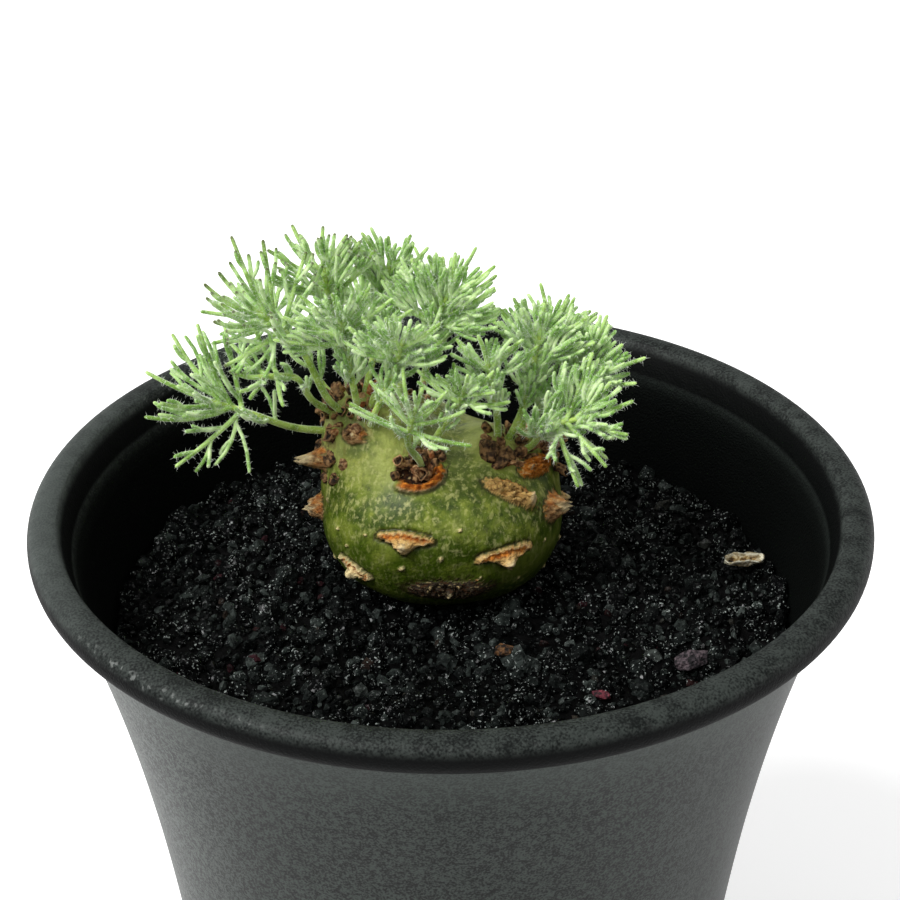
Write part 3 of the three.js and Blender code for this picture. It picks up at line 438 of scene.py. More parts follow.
@dataclass(frozen=True)
class PotPlastic:
    """Dark grey moulded plastic: a finely grained wall, a smoother rim, painted highlights on the left of the
    wall and rim, painted shade under the rim and a near-black inside painted as shade.
    """

    wall: tuple = srgb(4, 6, 5)
    pale: tuple = srgb(48, 55, 51)
    calm: tuple = srgb(64, 71, 67)
    # sunlit and sunlit_rim are painted highlights on the left, where the light falls.
    sunlit: tuple = srgb(112, 120, 115)
    rim: tuple = srgb(18, 21, 20)
    worn_rim: tuple = srgb(55, 60, 57)
    sunlit_rim: tuple = srgb(92, 98, 95)
    # Painted shade on the rim's underside.
    rim_underside_shade: tuple = srgb(3, 4, 4)
    # Pale rubbed marks on the rim's shoulder, partly a painted highlight there.
    scuff_and_highlight: tuple = srgb(176, 180, 176)
    # Painted shade: the near-black colour of the inner wall, where the pot's shade falls.
    inside: tuple = srgb(5, 7, 6)
    wall_gloss: tuple = (0.04, 0.8)
    rim_gloss: float = 0.05

    def wall_colour(self, shader: Shader, grain: Num) -> bpy.types.NodeSocket:
        """Returns the wall's colour: a fine dark and pale grain, calmer below the rim, with a painted
        highlight towards the left.
        """
        speckle = shader.step(grain * 0.65 + shader.noise(0.75, 3.0) * 0.35, 0.42, 0.58)
        # Painted highlight: the wall is lighter towards the left, where the light falls.
        left = shader.band(shader.leftward(), 18, 42) * 0.6
        wall = shader.mix(speckle, self.wall, shader.mix(left, self.pale, self.sunlit))
        below_rim = shader.band(shader.height(), 64, 73) * 0.42
        return shader.mix(below_rim, wall, shader.mix(left, self.calm, self.sunlit))

    def rim_colour(self, shader: Shader, grain: Num, upper: Num) -> bpy.types.NodeSocket:
        """Returns the rim's colour: patches of wear, a painted highlight at the left, rubbed marks with a
        painted highlight along the shoulder, and painted shade underneath.
        """
        patch = shader.step(grain * 0.6 + shader.noise(2.2, 4.0) * 0.4, 0.38, 0.62)
        rim = shader.mix(patch, self.rim, self.worn_rim)
        # Painted highlight: the rim is lighter towards the left, where the light falls.
        rim = shader.mix(shader.band(shader.leftward(), 31, 46) * 0.4, rim, self.sunlit_rim)
        # Pale spots along the rim's shoulder: partly real rubbed marks, partly a painted highlight where the
        # rounded edge catches the light.
        ridge_line = shader.band(shader.height(), 76.7, 77.1) * shader.band(shader.height(), 77.9, 77.5)
        front_left = shader.band(shader.leftward(), 16, 21) * shader.band(shader.leftward(), 38, 33)
        wear_and_glint_spots = shader.step(shader.noise(0.8, 5.0), 0.53, 0.64) * (front_left * 0.26 + 0.03)
        rim = shader.mix(ridge_line * wear_and_glint_spots, rim, self.scuff_and_highlight)
        # Painted shade: the rim's lower half, which faces down, is near black.
        return shader.mix(upper, self.rim_underside_shade, rim)

    def material(self) -> bpy.types.Material:
        """Builds the finish."""
        shader = Shader("pot_plastic", 0.6, Specular_IOR_Level=0.04, Coat_Roughness=0.46, Coat_IOR=1.45)
        on_rim = shader.band(shader.height(), 73.9, 74.5)
        # upper is 0 on the rim's lower half, where its shade is painted.
        upper = shader.band(shader.height(), 76.4, 77.6)
        inside = shader.attribute("inside")
        grain = shader.noise(0.24, 2.0)
        colour = shader.mix(on_rim, self.wall_colour(shader, grain), self.rim_colour(shader, grain, upper))
        # Painted shade: the inner wall below the rim is painted near black.
        colour = shader.mix(inside, colour, self.inside)
        least, most = self.wall_gloss
        gloss = least + shader.facing() * (most - least) + (shader.noise(9.0, 4.0) - 0.5) * 0.16
        coat = (1 - inside) * ((1 - on_rim) * gloss + on_rim * (upper * 0.1 + self.rim_gloss))
        shader.set_socket(shader.surface.inputs["Coat Weight"], coat)
        relief = grain * (1 - on_rim * 0.7) + shader.noise(1.8, 3.0) * 0.4
        return shader.finish(colour, 0.72 - on_rim * 0.15, relief, 0.3)


@dataclass
class NurseryPot:
    """The flared pot: a bell-shaped wall with a rolled rim, a foot ring and a drainage hole. Millimetres."""

    height: float = 78.0
    rim_radius: float = 44.98
    rim_half_width: float = 2.0
    rim_half_height: float = 1.85
    rim_roundness: float = 2.3
    rim_steps: int = 26
    arc_start: float = -0.31
    arc_sweep: float = 0.66
    thickness: float = 1.6
    floor_thickness: float = 2.0
    foot_height: float = 1.2
    foot_width: float = 2.3
    foot_bevel: float = 0.4
    foot_edge: tuple = ((0.5, 0.0), (0.1, 0.15))
    wall_from: float = 0.6
    corner: float = 0.8
    inside_depth: tuple = (0.6, 1.6)
    inside_below: tuple = (5.5, 2.4)
    drain_radius: float = 4.5
    sides: int = 180
    wall_steps: int = 40
    curve: tuple = ((0, 29.3), (15.9, 30.9), (29.9, 32.6), (41.9, 34.25), (51.9, 36.1), (59.9, 37.9),
                    (65.9, 39.6), (72.9, 41.6))

    def wall_radius(self, height: float) -> float:
        """Returns the outer wall's radius at a height, on a smooth curve through the measured points."""
        return float(np.polyval(np.polyfit(*zip(*self.curve), 4), height))

    def rim(self) -> list[tuple[float, float]]:
        """Returns the rolled rim's section from its outer underside to its inner side."""
        wide, high, power = self.rim_half_width, self.rim_half_height, 2 / self.rim_roundness
        points = []
        for step in range(self.rim_steps + 1):
            angle = 2 * math.pi * (self.arc_start + self.arc_sweep * step / self.rim_steps)
            across, up = math.cos(angle), math.sin(angle)
            points.append((
                self.rim_radius - wide + wide * math.copysign(abs(across) ** power, across),
                self.height - high + high * math.copysign(abs(up) ** power, up),
            ))
        return points

    def profile(self) -> list[tuple[float, float]]:
        """Returns the closed section of the pot as radius and height."""
        floor_top = self.foot_height + self.floor_thickness
        foot = self.wall_radius(0)
        top = self.curve[-1][0]
        section = [
            (self.drain_radius, self.foot_height),
            (foot - self.foot_width - self.foot_bevel, self.foot_height),
            (foot - self.foot_width, 0.0),
            *((foot - inset, rise) for inset, rise in self.foot_edge),
        ]
        outer = np.linspace(self.wall_from, top, self.wall_steps)
        section += [(self.wall_radius(z), z) for z in outer]
        section += self.rim()
        inner = np.linspace(top, floor_top + self.corner, self.wall_steps)
        section += [(self.wall_radius(z) - self.thickness, z) for z in inner]
        section.append((self.wall_radius(floor_top) - self.thickness - self.corner, floor_top))
        section.append((self.drain_radius, floor_top))
        return section

    def build(self) -> bpy.types.Object:
        """Builds and dresses the pot."""
        section = self.profile()
        turns = np.linspace(0, 2 * math.pi, self.sides, endpoint=False)
        points = np.concatenate([
            np.stack([radius * np.cos(turns), radius * np.sin(turns), np.full(self.sides, z)], -1)
            for radius, z in section
        ])
        last = (len(section) - 1) * self.sides
        side = np.arange(self.sides)
        after = (side + 1) % self.sides
        closing = np.stack([last + side, last + after, after, side], -1)
        mesh = mesh_from("pot_body", points, np.concatenate([ring_faces(len(section), self.sides), closing]))
        heights = points[:, 2]
        behind = np.array([self.wall_radius(z) for z in heights]) - np.hypot(points[:, 0], points[:, 1])
        above_floor = smooth(self.floor_thickness, self.floor_thickness + 1, heights)
        below_rim = 1 - smooth(*(self.height - drop for drop in self.inside_below), heights)
        # The inside mark says where the inner wall's painted shade goes.
        add_attribute(mesh, "inside", smooth(*self.inside_depth, behind) * above_floor * below_rim)
        return settle_piece(show(mesh, "nursery_pot"), PotPlastic().material(), ["pot"])


@dataclass(frozen=True)
class SoilGrit:
    """Black, slightly glossy mineral grit with a few brown, grey and reddish grains."""

    def bed(self) -> bpy.types.Material:
        """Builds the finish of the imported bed, which is all but black."""
        shader = Shader("soil_bed", 0.6, Specular_IOR_Level=0.04, Coat_Roughness=0.26)
        patches = shader.noise(1.3, 4.0)
        colour = shader.ramp(patches, (0.3, srgb(1, 1, 1)), (0.7, srgb(5, 5, 5)))
        return shader.finish(colour, None, patches, 0.5)

    def grains(self) -> bpy.types.Material:
        """Builds the finish of the loose grains, each with its own shade and a few pale glints."""
        shader = Shader("soil_grit", 0.6, Specular_IOR_Level=0.04, Coat_Roughness=0.26)
        shades = shader.ramp(
            shader.attribute("shade"),
            (0.0, srgb(1, 2, 2)), (0.48, srgb(3, 4, 4)), (0.66, srgb(18, 21, 20)), (0.84, srgb(34, 39, 37)),
            (0.94, srgb(50, 56, 53)), (0.98, srgb(66, 72, 69)), (0.99, srgb(36, 29, 22)),
            (0.998, srgb(44, 20, 25)),
        )
        mottle = shader.step(shader.noise(0.6, 4.0), 0.4, 0.6)
        patch = shader.step(shader.noise(5.0, 2.0), 0.4, 0.58)
        glint = shader.step(shader.noise(0.3, 3.0), 0.6, 0.69) * (patch * 0.85 + 0.15)
        colour = shader.layers(shades, (mottle * 0.7, srgb(2, 3, 3)), (glint * 0.85, srgb(166, 174, 169)))
        gloss = shader.step(shader.noise(0.5, 4.0), 0.54, 0.66) * 0.55
        shader.set_socket(shader.surface.inputs["Coat Weight"], gloss)
        return shader.finish(colour, None, shader.noise(0.28, 5.0), 0.25)


@dataclass(frozen=True)
class GrainSize:
    """One size of loose grain.

    Attributes:
        name: the piece's name.
        apart: least distance between grains in millimetres.
        low: smallest grain in millimetres.
        high: largest grain in millimetres.
        seed: the draw's fixed seed.
        cuts: how finely a grain is faceted.
    """

    name: str
    apart: float
    low: float
    high: float
    seed: int
    cuts: int


@dataclass
class Soil:
    """The soil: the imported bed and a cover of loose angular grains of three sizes. Millimetres."""

    lowest_top: float = 62.6
    upward: float = 0.5
    grain_shapes: int = 7
    most_grains: float = 4e6
    shade_draw: int = 50
    grain_stretch: tuple = ((0.85, 1.3), (0.7, 1.05), (0.55, 0.9))
    grain_push: tuple = (0.72, 1.18)
    sizes: tuple = (
        GrainSize("soil_fine_grains", 0.78, 0.8, 1.5, 3, 1),
        GrainSize("soil_grains", 1.9, 1.5, 2.5, 5, 1),
        GrainSize("soil_lumps", 6.5, 2.4, 3.8, 8, 2),
    )

    def bed_top(self) -> bpy.types.Object:
        """Copies the bed's upper faces as the ground that the grains are scattered on."""
        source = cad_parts["soil"].data
        points = np.empty(len(source.vertices) * 3, dtype=np.float32)
        source.vertices.foreach_get("co", points)
        points = points.reshape(-1, 3) / MM
        faces = [
            list(face.vertices) for face in source.polygons
            if face.normal.z > self.upward and face.center.z > self.lowest_top * MM
        ]
        return show(mesh_from("bed_top", points, faces, shade_smooth=False), "bed_top")

    def grain_mesh(self, seed: int, cuts: int) -> bpy.types.Object:
        """Makes one angular grain of about 1 mm in each direction."""
        random = SeededRandom(seed)
        shape = bmesh.new()
        bmesh.ops.create_icosphere(shape, subdivisions=cuts, radius=0.5 * MM)
        stretch = Vector([random.between(*limits) for limits in self.grain_stretch])
        for vertex in shape.verts:
            push = random.between(*self.grain_push)
            vertex.co = Vector(c * s * push for c, s in zip(vertex.co, stretch))
        mesh = bpy.data.meshes.new(f"grain_{seed}")
        shape.to_mesh(mesh)
        shape.free()
        return bpy.data.objects.new(f"grain_{seed}", mesh)

    def scatter(self, size: GrainSize, material: bpy.types.Material) -> bpy.types.Object:
        """Scatters grains of one size over the bed and returns them as one plain mesh."""
        name, seed = size.name, size.seed
        grains = bpy.data.collections.new(f"{name}_shapes")
        shapes = [self.grain_mesh(seed * 100 + i, size.cuts) for i in range(self.grain_shapes)]
        for shape in shapes:
            grains.objects.link(shape)
        recipe = Recipe(name)
        distance = recipe.size("Least distance", size.apart * MM)
        smallest = recipe.size("Smallest grain", size.low)
        largest = recipe.size("Largest grain", size.high)
        draw = recipe.size("Seed", seed, "NodeSocketInt")
        spots = recipe.node("GeometryNodeDistributePointsOnFaces", {"distribute_method": "POISSON"}, {
            "Mesh": recipe.entry.outputs[0], "Distance Min": distance, "Density Max": self.most_grains,
            "Seed": draw,
        })
        source = recipe.node("GeometryNodeCollectionInfo", {}, {
            "Collection": grains, "Separate Children": True, "Reset Children": True,
        })
        turn = recipe.random((0, 0, 0), (math.tau, math.tau, math.tau), draw)
        scale = recipe.random(smallest, largest, draw)
        placed = recipe.instances(spots, source, turn, scale, pick=True)
        store = {"data_type": "FLOAT", "domain": "INSTANCE"}
        marked = recipe.node("GeometryNodeStoreNamedAttribute", store, {
            "Geometry": placed, "Name": "shade", "Value": recipe.random(0.0, 1.0, seed + self.shade_draw),
        })
        recipe.end(marked.outputs[0], material)
        piece = recipe.make(self.bed_top(), name)
        for shape in shapes:
            bpy.data.objects.remove(shape)
        return settle_piece(piece)

    def build(self) -> None:
        """Dresses the bed and scatters the grains."""
        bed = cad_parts["soil"]
        bed.data.materials.clear()
        bed.data.materials.append(SoilGrit().bed())
        grit = SoilGrit().grains()
        for size in self.sizes:
            self.scatter(size, grit)


@dataclass
class StemForm:
    """The swollen stem's form: a squared ovoid with heads, by the same formula as the solid. Millimetres."""

    centre: Point = field(default_factory=lambda: vec(-0.9, 7, 71.4))
    half: Point = field(default_factory=lambda: vec(13.2, 11.8, 9.3))
    squareness: float = 2.25
    heads: tuple = (
        (-12.0, 8.5, 85.2, 0.44),
        (-3.2, 2.4, 81.0, 0.24),
        (7.2, 6.4, 81.2, 0.34),
        (11.3, 8.5, 79.0, 0.28),
        (-4, 15.5, 81.2, 0.34),
    )
    head_falloff: float = 0.9
    normal_step: float = 0.02

    def radius(self, directions: np.ndarray) -> np.ndarray:
        """Returns the distance from the centre to the skin along each direction."""
        rows = np.atleast_2d(directions)
        plain = (np.abs(rows / self.half) ** self.squareness).sum(-1) ** (-1 / self.squareness)
        result = plain.copy()
        for x, y, z, width in self.heads:
            top = vec(x, y, z) - self.centre
            reach = math.sqrt(float(top @ top))
            apart = np.arccos(np.clip(rows @ (top / reach), -1, 1)) / width
            rise = np.maximum(0, reach - plain)
            result = np.maximum(result, plain + rise * np.exp(-self.head_falloff * apart**2))
        return result

    def point(self, direction: Point, lift: float = 0.0) -> Point:
        """Returns the skin's point along a direction."""
        return direction * (float(self.radius(direction)[0]) + lift) + self.centre

    def normal(self, direction: Point) -> Point:
        """Returns the skin's outward normal along a direction."""
        side = unit(np.cross(vec(0, 0, 1), direction))
        top = np.cross(direction, side)
        foot = self.point(direction)
        beside = self.point(unit(direction + side * self.normal_step)) - foot
        above = self.point(unit(direction + top * self.normal_step)) - foot
        return unit(np.cross(beside, above))


STEM = StemForm()


class Tone(Enum):
    """How a leaf scar's pad looks, from dark and weathered to pale and crumbly."""

    DARK = 0.1
    CROWN = 0.3
    BROWN = 0.46
    RUST = 0.6
    TAN = 0.75
    PALE = 0.95


@dataclass(frozen=True)
class LeafScar:
    """A raised scar with a beak. Angles in degrees seen from the stem's centre, sizes in millimetres.

    Attributes:
        azimuth: the side of the stem that it is on.
        elevation: how far up the stem it is.
        width: its size along the stem's girth.
        height: its size upward.
        rise: how far its pad stands out.
        beak: how much further its beak or horn stands out.
        turn: its slant.
        tone: the colour of its pad.
        horn: the radius of its horn, or 0 for a beak.
        peak: how far the horn sits off the middle, as a share of half the width.
    """

    azimuth: float
    elevation: float
    width: float
    height: float
    rise: float
    beak: float
    turn: float = 0.0
    tone: Tone = Tone.TAN
    horn: float = 0.0
    peak: float = 0.0

    def frame(self) -> tuple[Point, Point, Point, Point]:
        """Returns the scar's foot, outward normal, and its across and upward axes."""
        a, e = math.radians(self.azimuth), math.radians(self.elevation)
        direction = vec(math.cos(a) * math.cos(e), math.sin(a) * math.cos(e), math.sin(e))
        normal = STEM.normal(direction)
        flat = unit(np.cross(vec(0, 0, 1), normal))
        t = math.radians(self.turn)
        across = flat * math.cos(t) + np.cross(normal, flat) * math.sin(t)
        return STEM.point(direction), normal, across, np.cross(normal, across)

    def press(self, base: np.ndarray, rough: np.ndarray) -> tuple[np.ndarray, dict[str, np.ndarray]]:
        """Shapes the scar on the skin.

        Args:
            base: the skin's points.
            rough: small-scale noise at each point.

        Returns:
            How far each point moves outward, and how strong each colour mark is there.
        """
        foot, normal, across, upward = self.frame()
        offset = base - foot
        near = smooth(3.4, 2.8, np.abs(offset @ normal))
        u = (offset @ across) / (self.width / 2) + 0.07 * rough
        v = (offset @ upward) / (self.height / 2) + 0.14 * rough
        if self.tone is Tone.CROWN:
            return self.dish(u, v, near, rough)
        if self.horn:
            return self.horned(u, v, near, rough)
        # The distances inward from the flat upper edge, from the beaked lower edge and from all edges
        wing = np.clip(1 - np.abs(u), 0, 1)
        over = 0.5 * wing**0.3 - v - 0.08
        under = v + 0.14 + 0.26 * wing**0.5 + 0.62 * ridge(u, 0, 0.3)
        depth = np.minimum(np.minimum(over, under), (1 - np.abs(u)) * 2.5)
        pad = smooth(-0.04, 0.16, depth) * near
        inside = smooth(-0.03, 0.03, depth) * near
        beak = ridge(u, 0, 0.2) * ridge(v, -0.5, 0.34) * near
        lip = ridge(over, 0.05, 0.07) * smooth(1.0, 0.85, np.abs(u)) * near
        hollow = ridge(over, 0.27, 0.15) * smooth(0.95, 0.7, np.abs(u)) * inside
        rim = ridge(under, 0.05, 0.07) * smooth(1.0, 0.85, np.abs(u)) * inside
        # The groove is a shallow real dip round the pad; its dark edge colour is painted shade.
        groove = ridge(depth, -0.1, 0.09) * smooth(1.25, 1.05, np.abs(u)) * near
        crumbs = 0.75 if self.tone is Tone.PALE else 0.45
        lift = self.rise * pad * (0.75 + crumbs * rough) + 0.2 * lip - 0.28 * hollow + 0.12 * rim
        lift += self.beak * 0.85 * beak - 0.2 * groove
        weathered = 0.25 if self.tone is Tone.DARK else 1.0
        tip = beak**2 * 1.2 + (lip * 0.34 + rim * 0.5) * weathered
        return lift, {
            "scar": inside,
            "edge": groove,
            "rust": hollow * weathered,
            "tip": np.clip(tip, 0, 1),
            "tone": self.tone.value * (smooth(1.5, 1.35, np.maximum(np.abs(u), np.abs(v))) * near > 0.5),
        }

    def horned(self, u: np.ndarray, v: np.ndarray, near: np.ndarray, rough: np.ndarray) -> tuple:
        """Shapes a wrinkled oval foot with a blunt, crooked horn; returns what press does."""
        reach = np.sqrt(u**2 + v**2) * (1 + 0.2 * rough)
        apart = np.hypot((u - self.peak) * self.width / 2, v * self.height / 2) / self.horn
        horn = smooth(1.0, 0.28, apart * (1 + 0.25 * rough)) * near
        foot = smooth(1.02, 0.6, reach) * near
        lift = self.rise * foot * (0.7 + 1.1 * rough) + self.beak * horn * (1 + 0.35 * rough)
        inside = smooth(1.0, 0.93, reach) * near
        reddish = 0.0 if self.tone is Tone.DARK else 0.7
        upper_right = smooth(0.1, 0.5, v + 0.5 * u + 0.6 * rough)
        return lift, {
            "scar": inside,
            "edge": ridge(reach, 1.06, 0.1) * near,
            "rust": reddish * ridge(reach, 0.8, 0.16) * inside * upper_right,
            "tip": 0.8 * smooth(0.62, 0.98, horn),
            "tone": self.tone.value * (reach < 1.35) * (near > 0.5),
        }

    def dish(self, u: np.ndarray, v: np.ndarray, near: np.ndarray, rough: np.ndarray) -> tuple:
        """Shapes a round dish with a crescent along its lower right side; returns what press does."""
        round_reach = np.sqrt(u**2 + v**2)
        reach = round_reach * (1 + 0.1 * rough)
        low = smooth(-0.15, 0.45, (0.5 * u - v) / np.maximum(round_reach, 0.05))
        rim = ridge(reach, 0.78, 0.17) * low * near
        bowl = smooth(0.7, 0.45, reach) * near
        lift = rim * (self.rise * 0.9 + 0.3 * rough) - 0.5 * bowl
        return lift, {
            "scar": np.maximum(smooth(0.85, 0.7, reach), smooth(1.0, 0.95, reach) * low) * near,
            "edge": ridge(reach, 1.04, 0.07) * low * near,
            "rust": np.clip(rim * 1.4 * (1 - bowl), 0, 1),
            "tip": ridge(reach, 0.97, 0.04) * low * near * 0.5,
            "tone": self.tone.value * (reach < 1.3) * (near > 0.5),
        }


SCARS = (
    LeafScar(-110, 15, 6.4, 3.5, 0.7, 1.3),
    LeafScar(-57, 4, 6.6, 3.5, 0.7, 1.2, 2),
    LeafScar(-138, -9, 4.8, 2.6, 0.7, 0.9, -15, Tone.PALE),
    LeafScar(-86, -17, 9.6, 3.3, 0.45, 0.6, 0, Tone.DARK, 0.5),
    LeafScar(-176, 5, 3.8, 3.4, 0.9, 0.8, 10, Tone.BROWN, 1.5),
    LeafScar(-175, 30, 3.4, 2.8, 0.9, 1.9, 0, Tone.BROWN, 1.2),
    LeafScar(-113, 51.5, 6.2, 5.0, 0.8, 0.5, 0, Tone.CROWN),
    LeafScar(-43, 32, 6.6, 2.4, 1.0, 0.9, -46, Tone.TAN, 1.1, 0.7),
    LeafScar(-20, 13, 4.4, 3.2, 0.9, 1.1, 0, Tone.BROWN, 1.5),
    LeafScar(-15, 34, 5.2, 2.4, 1.0, 0.4, 0, Tone.RUST, 0.6, -0.5),
    LeafScar(12, 2, 5.4, 2.8, 0.7, 1.2),
    LeafScar(40, 22, 5.4, 3.0, 0.8, 1.3, 0, Tone.BROWN, 1.4),
    LeafScar(66, -4, 5.8, 2.8, 0.7, 1.2, 0, Tone.PALE),
    LeafScar(94, 20, 5.4, 3.0, 0.8, 1.3),
    LeafScar(122, -6, 5.6, 2.8, 0.7, 1.2, 0, Tone.DARK, 0.6),
    LeafScar(148, 17, 5.2, 3.0, 0.8, 1.3, 0, Tone.BROWN, 1.4),
    LeafScar(166, -14, 4.8, 2.6, 0.7, 1.1),
    LeafScar(-160, 49, 2.8, 2.0, 0.6, 0.4, 0, Tone.BROWN, 0.5),
)
# Small corky specks on the skin: azimuth and elevation in degrees, and the radius in millimetres
SPECKS = (
    (-111, -2, 0.42), (-91, 5, 0.36), (-13, -8, 0.38), (-27, -17, 0.3), (-80, 20, 0.3), (-163, 16, 0.34),
    (-160, -15, 0.42), (-149, 8, 0.3), (-142, 2, 0.28), (-131, 12, 0.24), (-70, -8, 0.22), (-33, 2, 0.3),
    (-48, -14, 0.24), (20, -16, 0.34), (55, 12, 0.3), (83, -14, 0.34), (110, 8, 0.28), (140, -2, 0.32),
)


@dataclass(frozen=True)
class StemSkin:
    """Waxy olive skin with pale crackle, a dull dark base, papery tan to orange-brown scars, a painted sheen
    on top and painted shade low at the right and round the scars.
    """

    def pads(self, shader: Shader) -> bpy.types.NodeSocket:
        """Returns the colour of the scars' pads."""
        tone = shader.attribute("tone")
        fibre = shader.noise(0.55, 5.0, (1, 1, 1.8))
        pad = shader.ramp(
            tone, (0.15, srgb(58, 50, 40)), (0.25, srgb(34, 22, 16)), (0.36, srgb(40, 26, 18)),
            (0.4, srgb(172, 134, 90)), (0.52, srgb(172, 134, 90)), (0.57, srgb(186, 112, 42)),
            (0.66, srgb(186, 112, 42)), (0.71, srgb(206, 166, 100)), (0.85, srgb(206, 166, 100)),
            (0.92, srgb(228, 210, 154)),
        )
        cracks = shader.step(shader.noise(0.6, 3.0), 0.4, 0.6)
        return shader.layers(
            pad,
            (shader.step(fibre, 0.5, 0.38) * 0.66, srgb(78, 48, 24)),
            (shader.step(fibre, 0.56, 0.72) * 0.6, srgb(236, 208, 148)),
            (shader.attribute("rust"), shader.mix(cracks, srgb(140, 70, 22), srgb(208, 126, 46))),
            (shader.attribute("tip") * 0.9, srgb(236, 218, 172)),
        )

    def living(self, shader: Shader, mottle: Num, patch: Num, streak: Num) -> bpy.types.NodeSocket:
        """Returns the plain green of the skin."""
        green = shader.ramp(mottle, (0.32, srgb(50, 68, 14)), (0.45, srgb(80, 98, 26)),
                            (0.56, srgb(104, 120, 36)), (0.7, srgb(144, 152, 62)))
        return shader.layers(
            green,
            (shader.step(patch, 0.46, 0.62) * 0.62, srgb(148, 158, 66)),
            (shader.step(patch, 0.48, 0.36) * 0.66, srgb(50, 68, 10)),
            (shader.step(streak, 0.55, 0.68) * 0.55, srgb(178, 180, 106)),
            (shader.step(streak, 0.45, 0.34) * 0.45, srgb(42, 56, 14)),
        )

    def skin(self, shader: Shader, low: Num) -> bpy.types.NodeSocket:
        """Returns the colour of the skin between the scars, duller towards the soil, with painted shade low
        at the right and a painted sheen on top.
        """
        mottle = shader.noise(1.5, 7.0)
        patch = shader.noise(5.5, 3.0)
        streak = shader.noise(0.6, 5.0, (1, 1, 0.35))
        green = self.living(shader, mottle, patch, streak)
        dull = shader.ramp(mottle, (0.34, srgb(16, 22, 8)), (0.55, srgb(42, 50, 18)),
                           (0.7, srgb(104, 106, 54)))
        # Painted shade: near black low on the stem, reaching higher at the right, where the stem shades
        # itself near the soil.
        low_right_shade = shader.band(shader.height() + shader.leftward() * 0.3, 68.6, 64.2)
        web = shader.step(shader.noise(0.5, 6.0, (1, 1, 0.7)), 0.5, 0.66)
        web_area = shader.step(shader.noise(4.0, 2.0), 0.42, 0.6)
        fleck = shader.step(shader.noise(0.26, 3.0), 0.62, 0.7)
        deeper = shader.band(shader.height(), 76.5, 70.5)
        # Painted sheen: the top of the stem is paler where it reflects the light from above.
        top_sheen = shader.band(shader.height(), 77.5, 81)
        top_sheen_share = shader.step(patch, 0.4, 0.62) * 0.42 + 0.16
        tan = shader.step(mottle * 0.6 + streak * 0.4, 0.5, 0.58)
        return shader.layers(
            shader.mix(low, dull, green),
            (low_right_shade * 0.94, srgb(6, 8, 4)),
            (web * (web_area * 0.42 + 0.04), srgb(204, 202, 136)),
            (fleck * 0.24, srgb(214, 210, 150)),
            (deeper * 0.62, srgb(56, 76, 2)),
            (top_sheen * top_sheen_share, srgb(178, 186, 104)),
            (shader.attribute("bark") * tan * 0.55, srgb(98, 74, 42)),
            # Painted shade: the edge mark darkens the groove round each scar, where shade falls under the
            # pad.
            (shader.attribute("edge") * 0.85, srgb(46, 36, 18)),
        )

    def material(self) -> bpy.types.Material:
        """Builds the finish."""
        shader = Shader("stem_skin", 0.4, Specular_IOR_Level=0.1, Coat_Roughness=0.34, Subsurface_Weight=0.05,
                        Subsurface_Radius=(0.6 * MM, 0.9 * MM, 0.25 * MM), Subsurface_Scale=1.0)
        low = shader.band(shader.height(), 63.4, 69.5)
        scar = shader.attribute("scar")
        colour = shader.mix(scar, self.skin(shader, low), self.pads(shader))
        wax = shader.noise(1.5, 3.0)
        shader.set_socket(shader.surface.inputs["Coat Weight"], (1 - scar) * 0.26 * low)
        roughness = 0.52 + scar * 0.3 + (wax - 0.5) * 0.3
        fibre = shader.noise(0.4, 5.0, (1, 1, 1.6))
        wrinkle = shader.noise(0.5, 5.0, (1, 1, 0.4))
        relief = wax * 0.25 + wrinkle * 0.4 + fibre * scar * 0.7 + shader.noise(0.3, 4.0) * 0.3
        return shader.finish(colour, roughness, relief, 0.36)


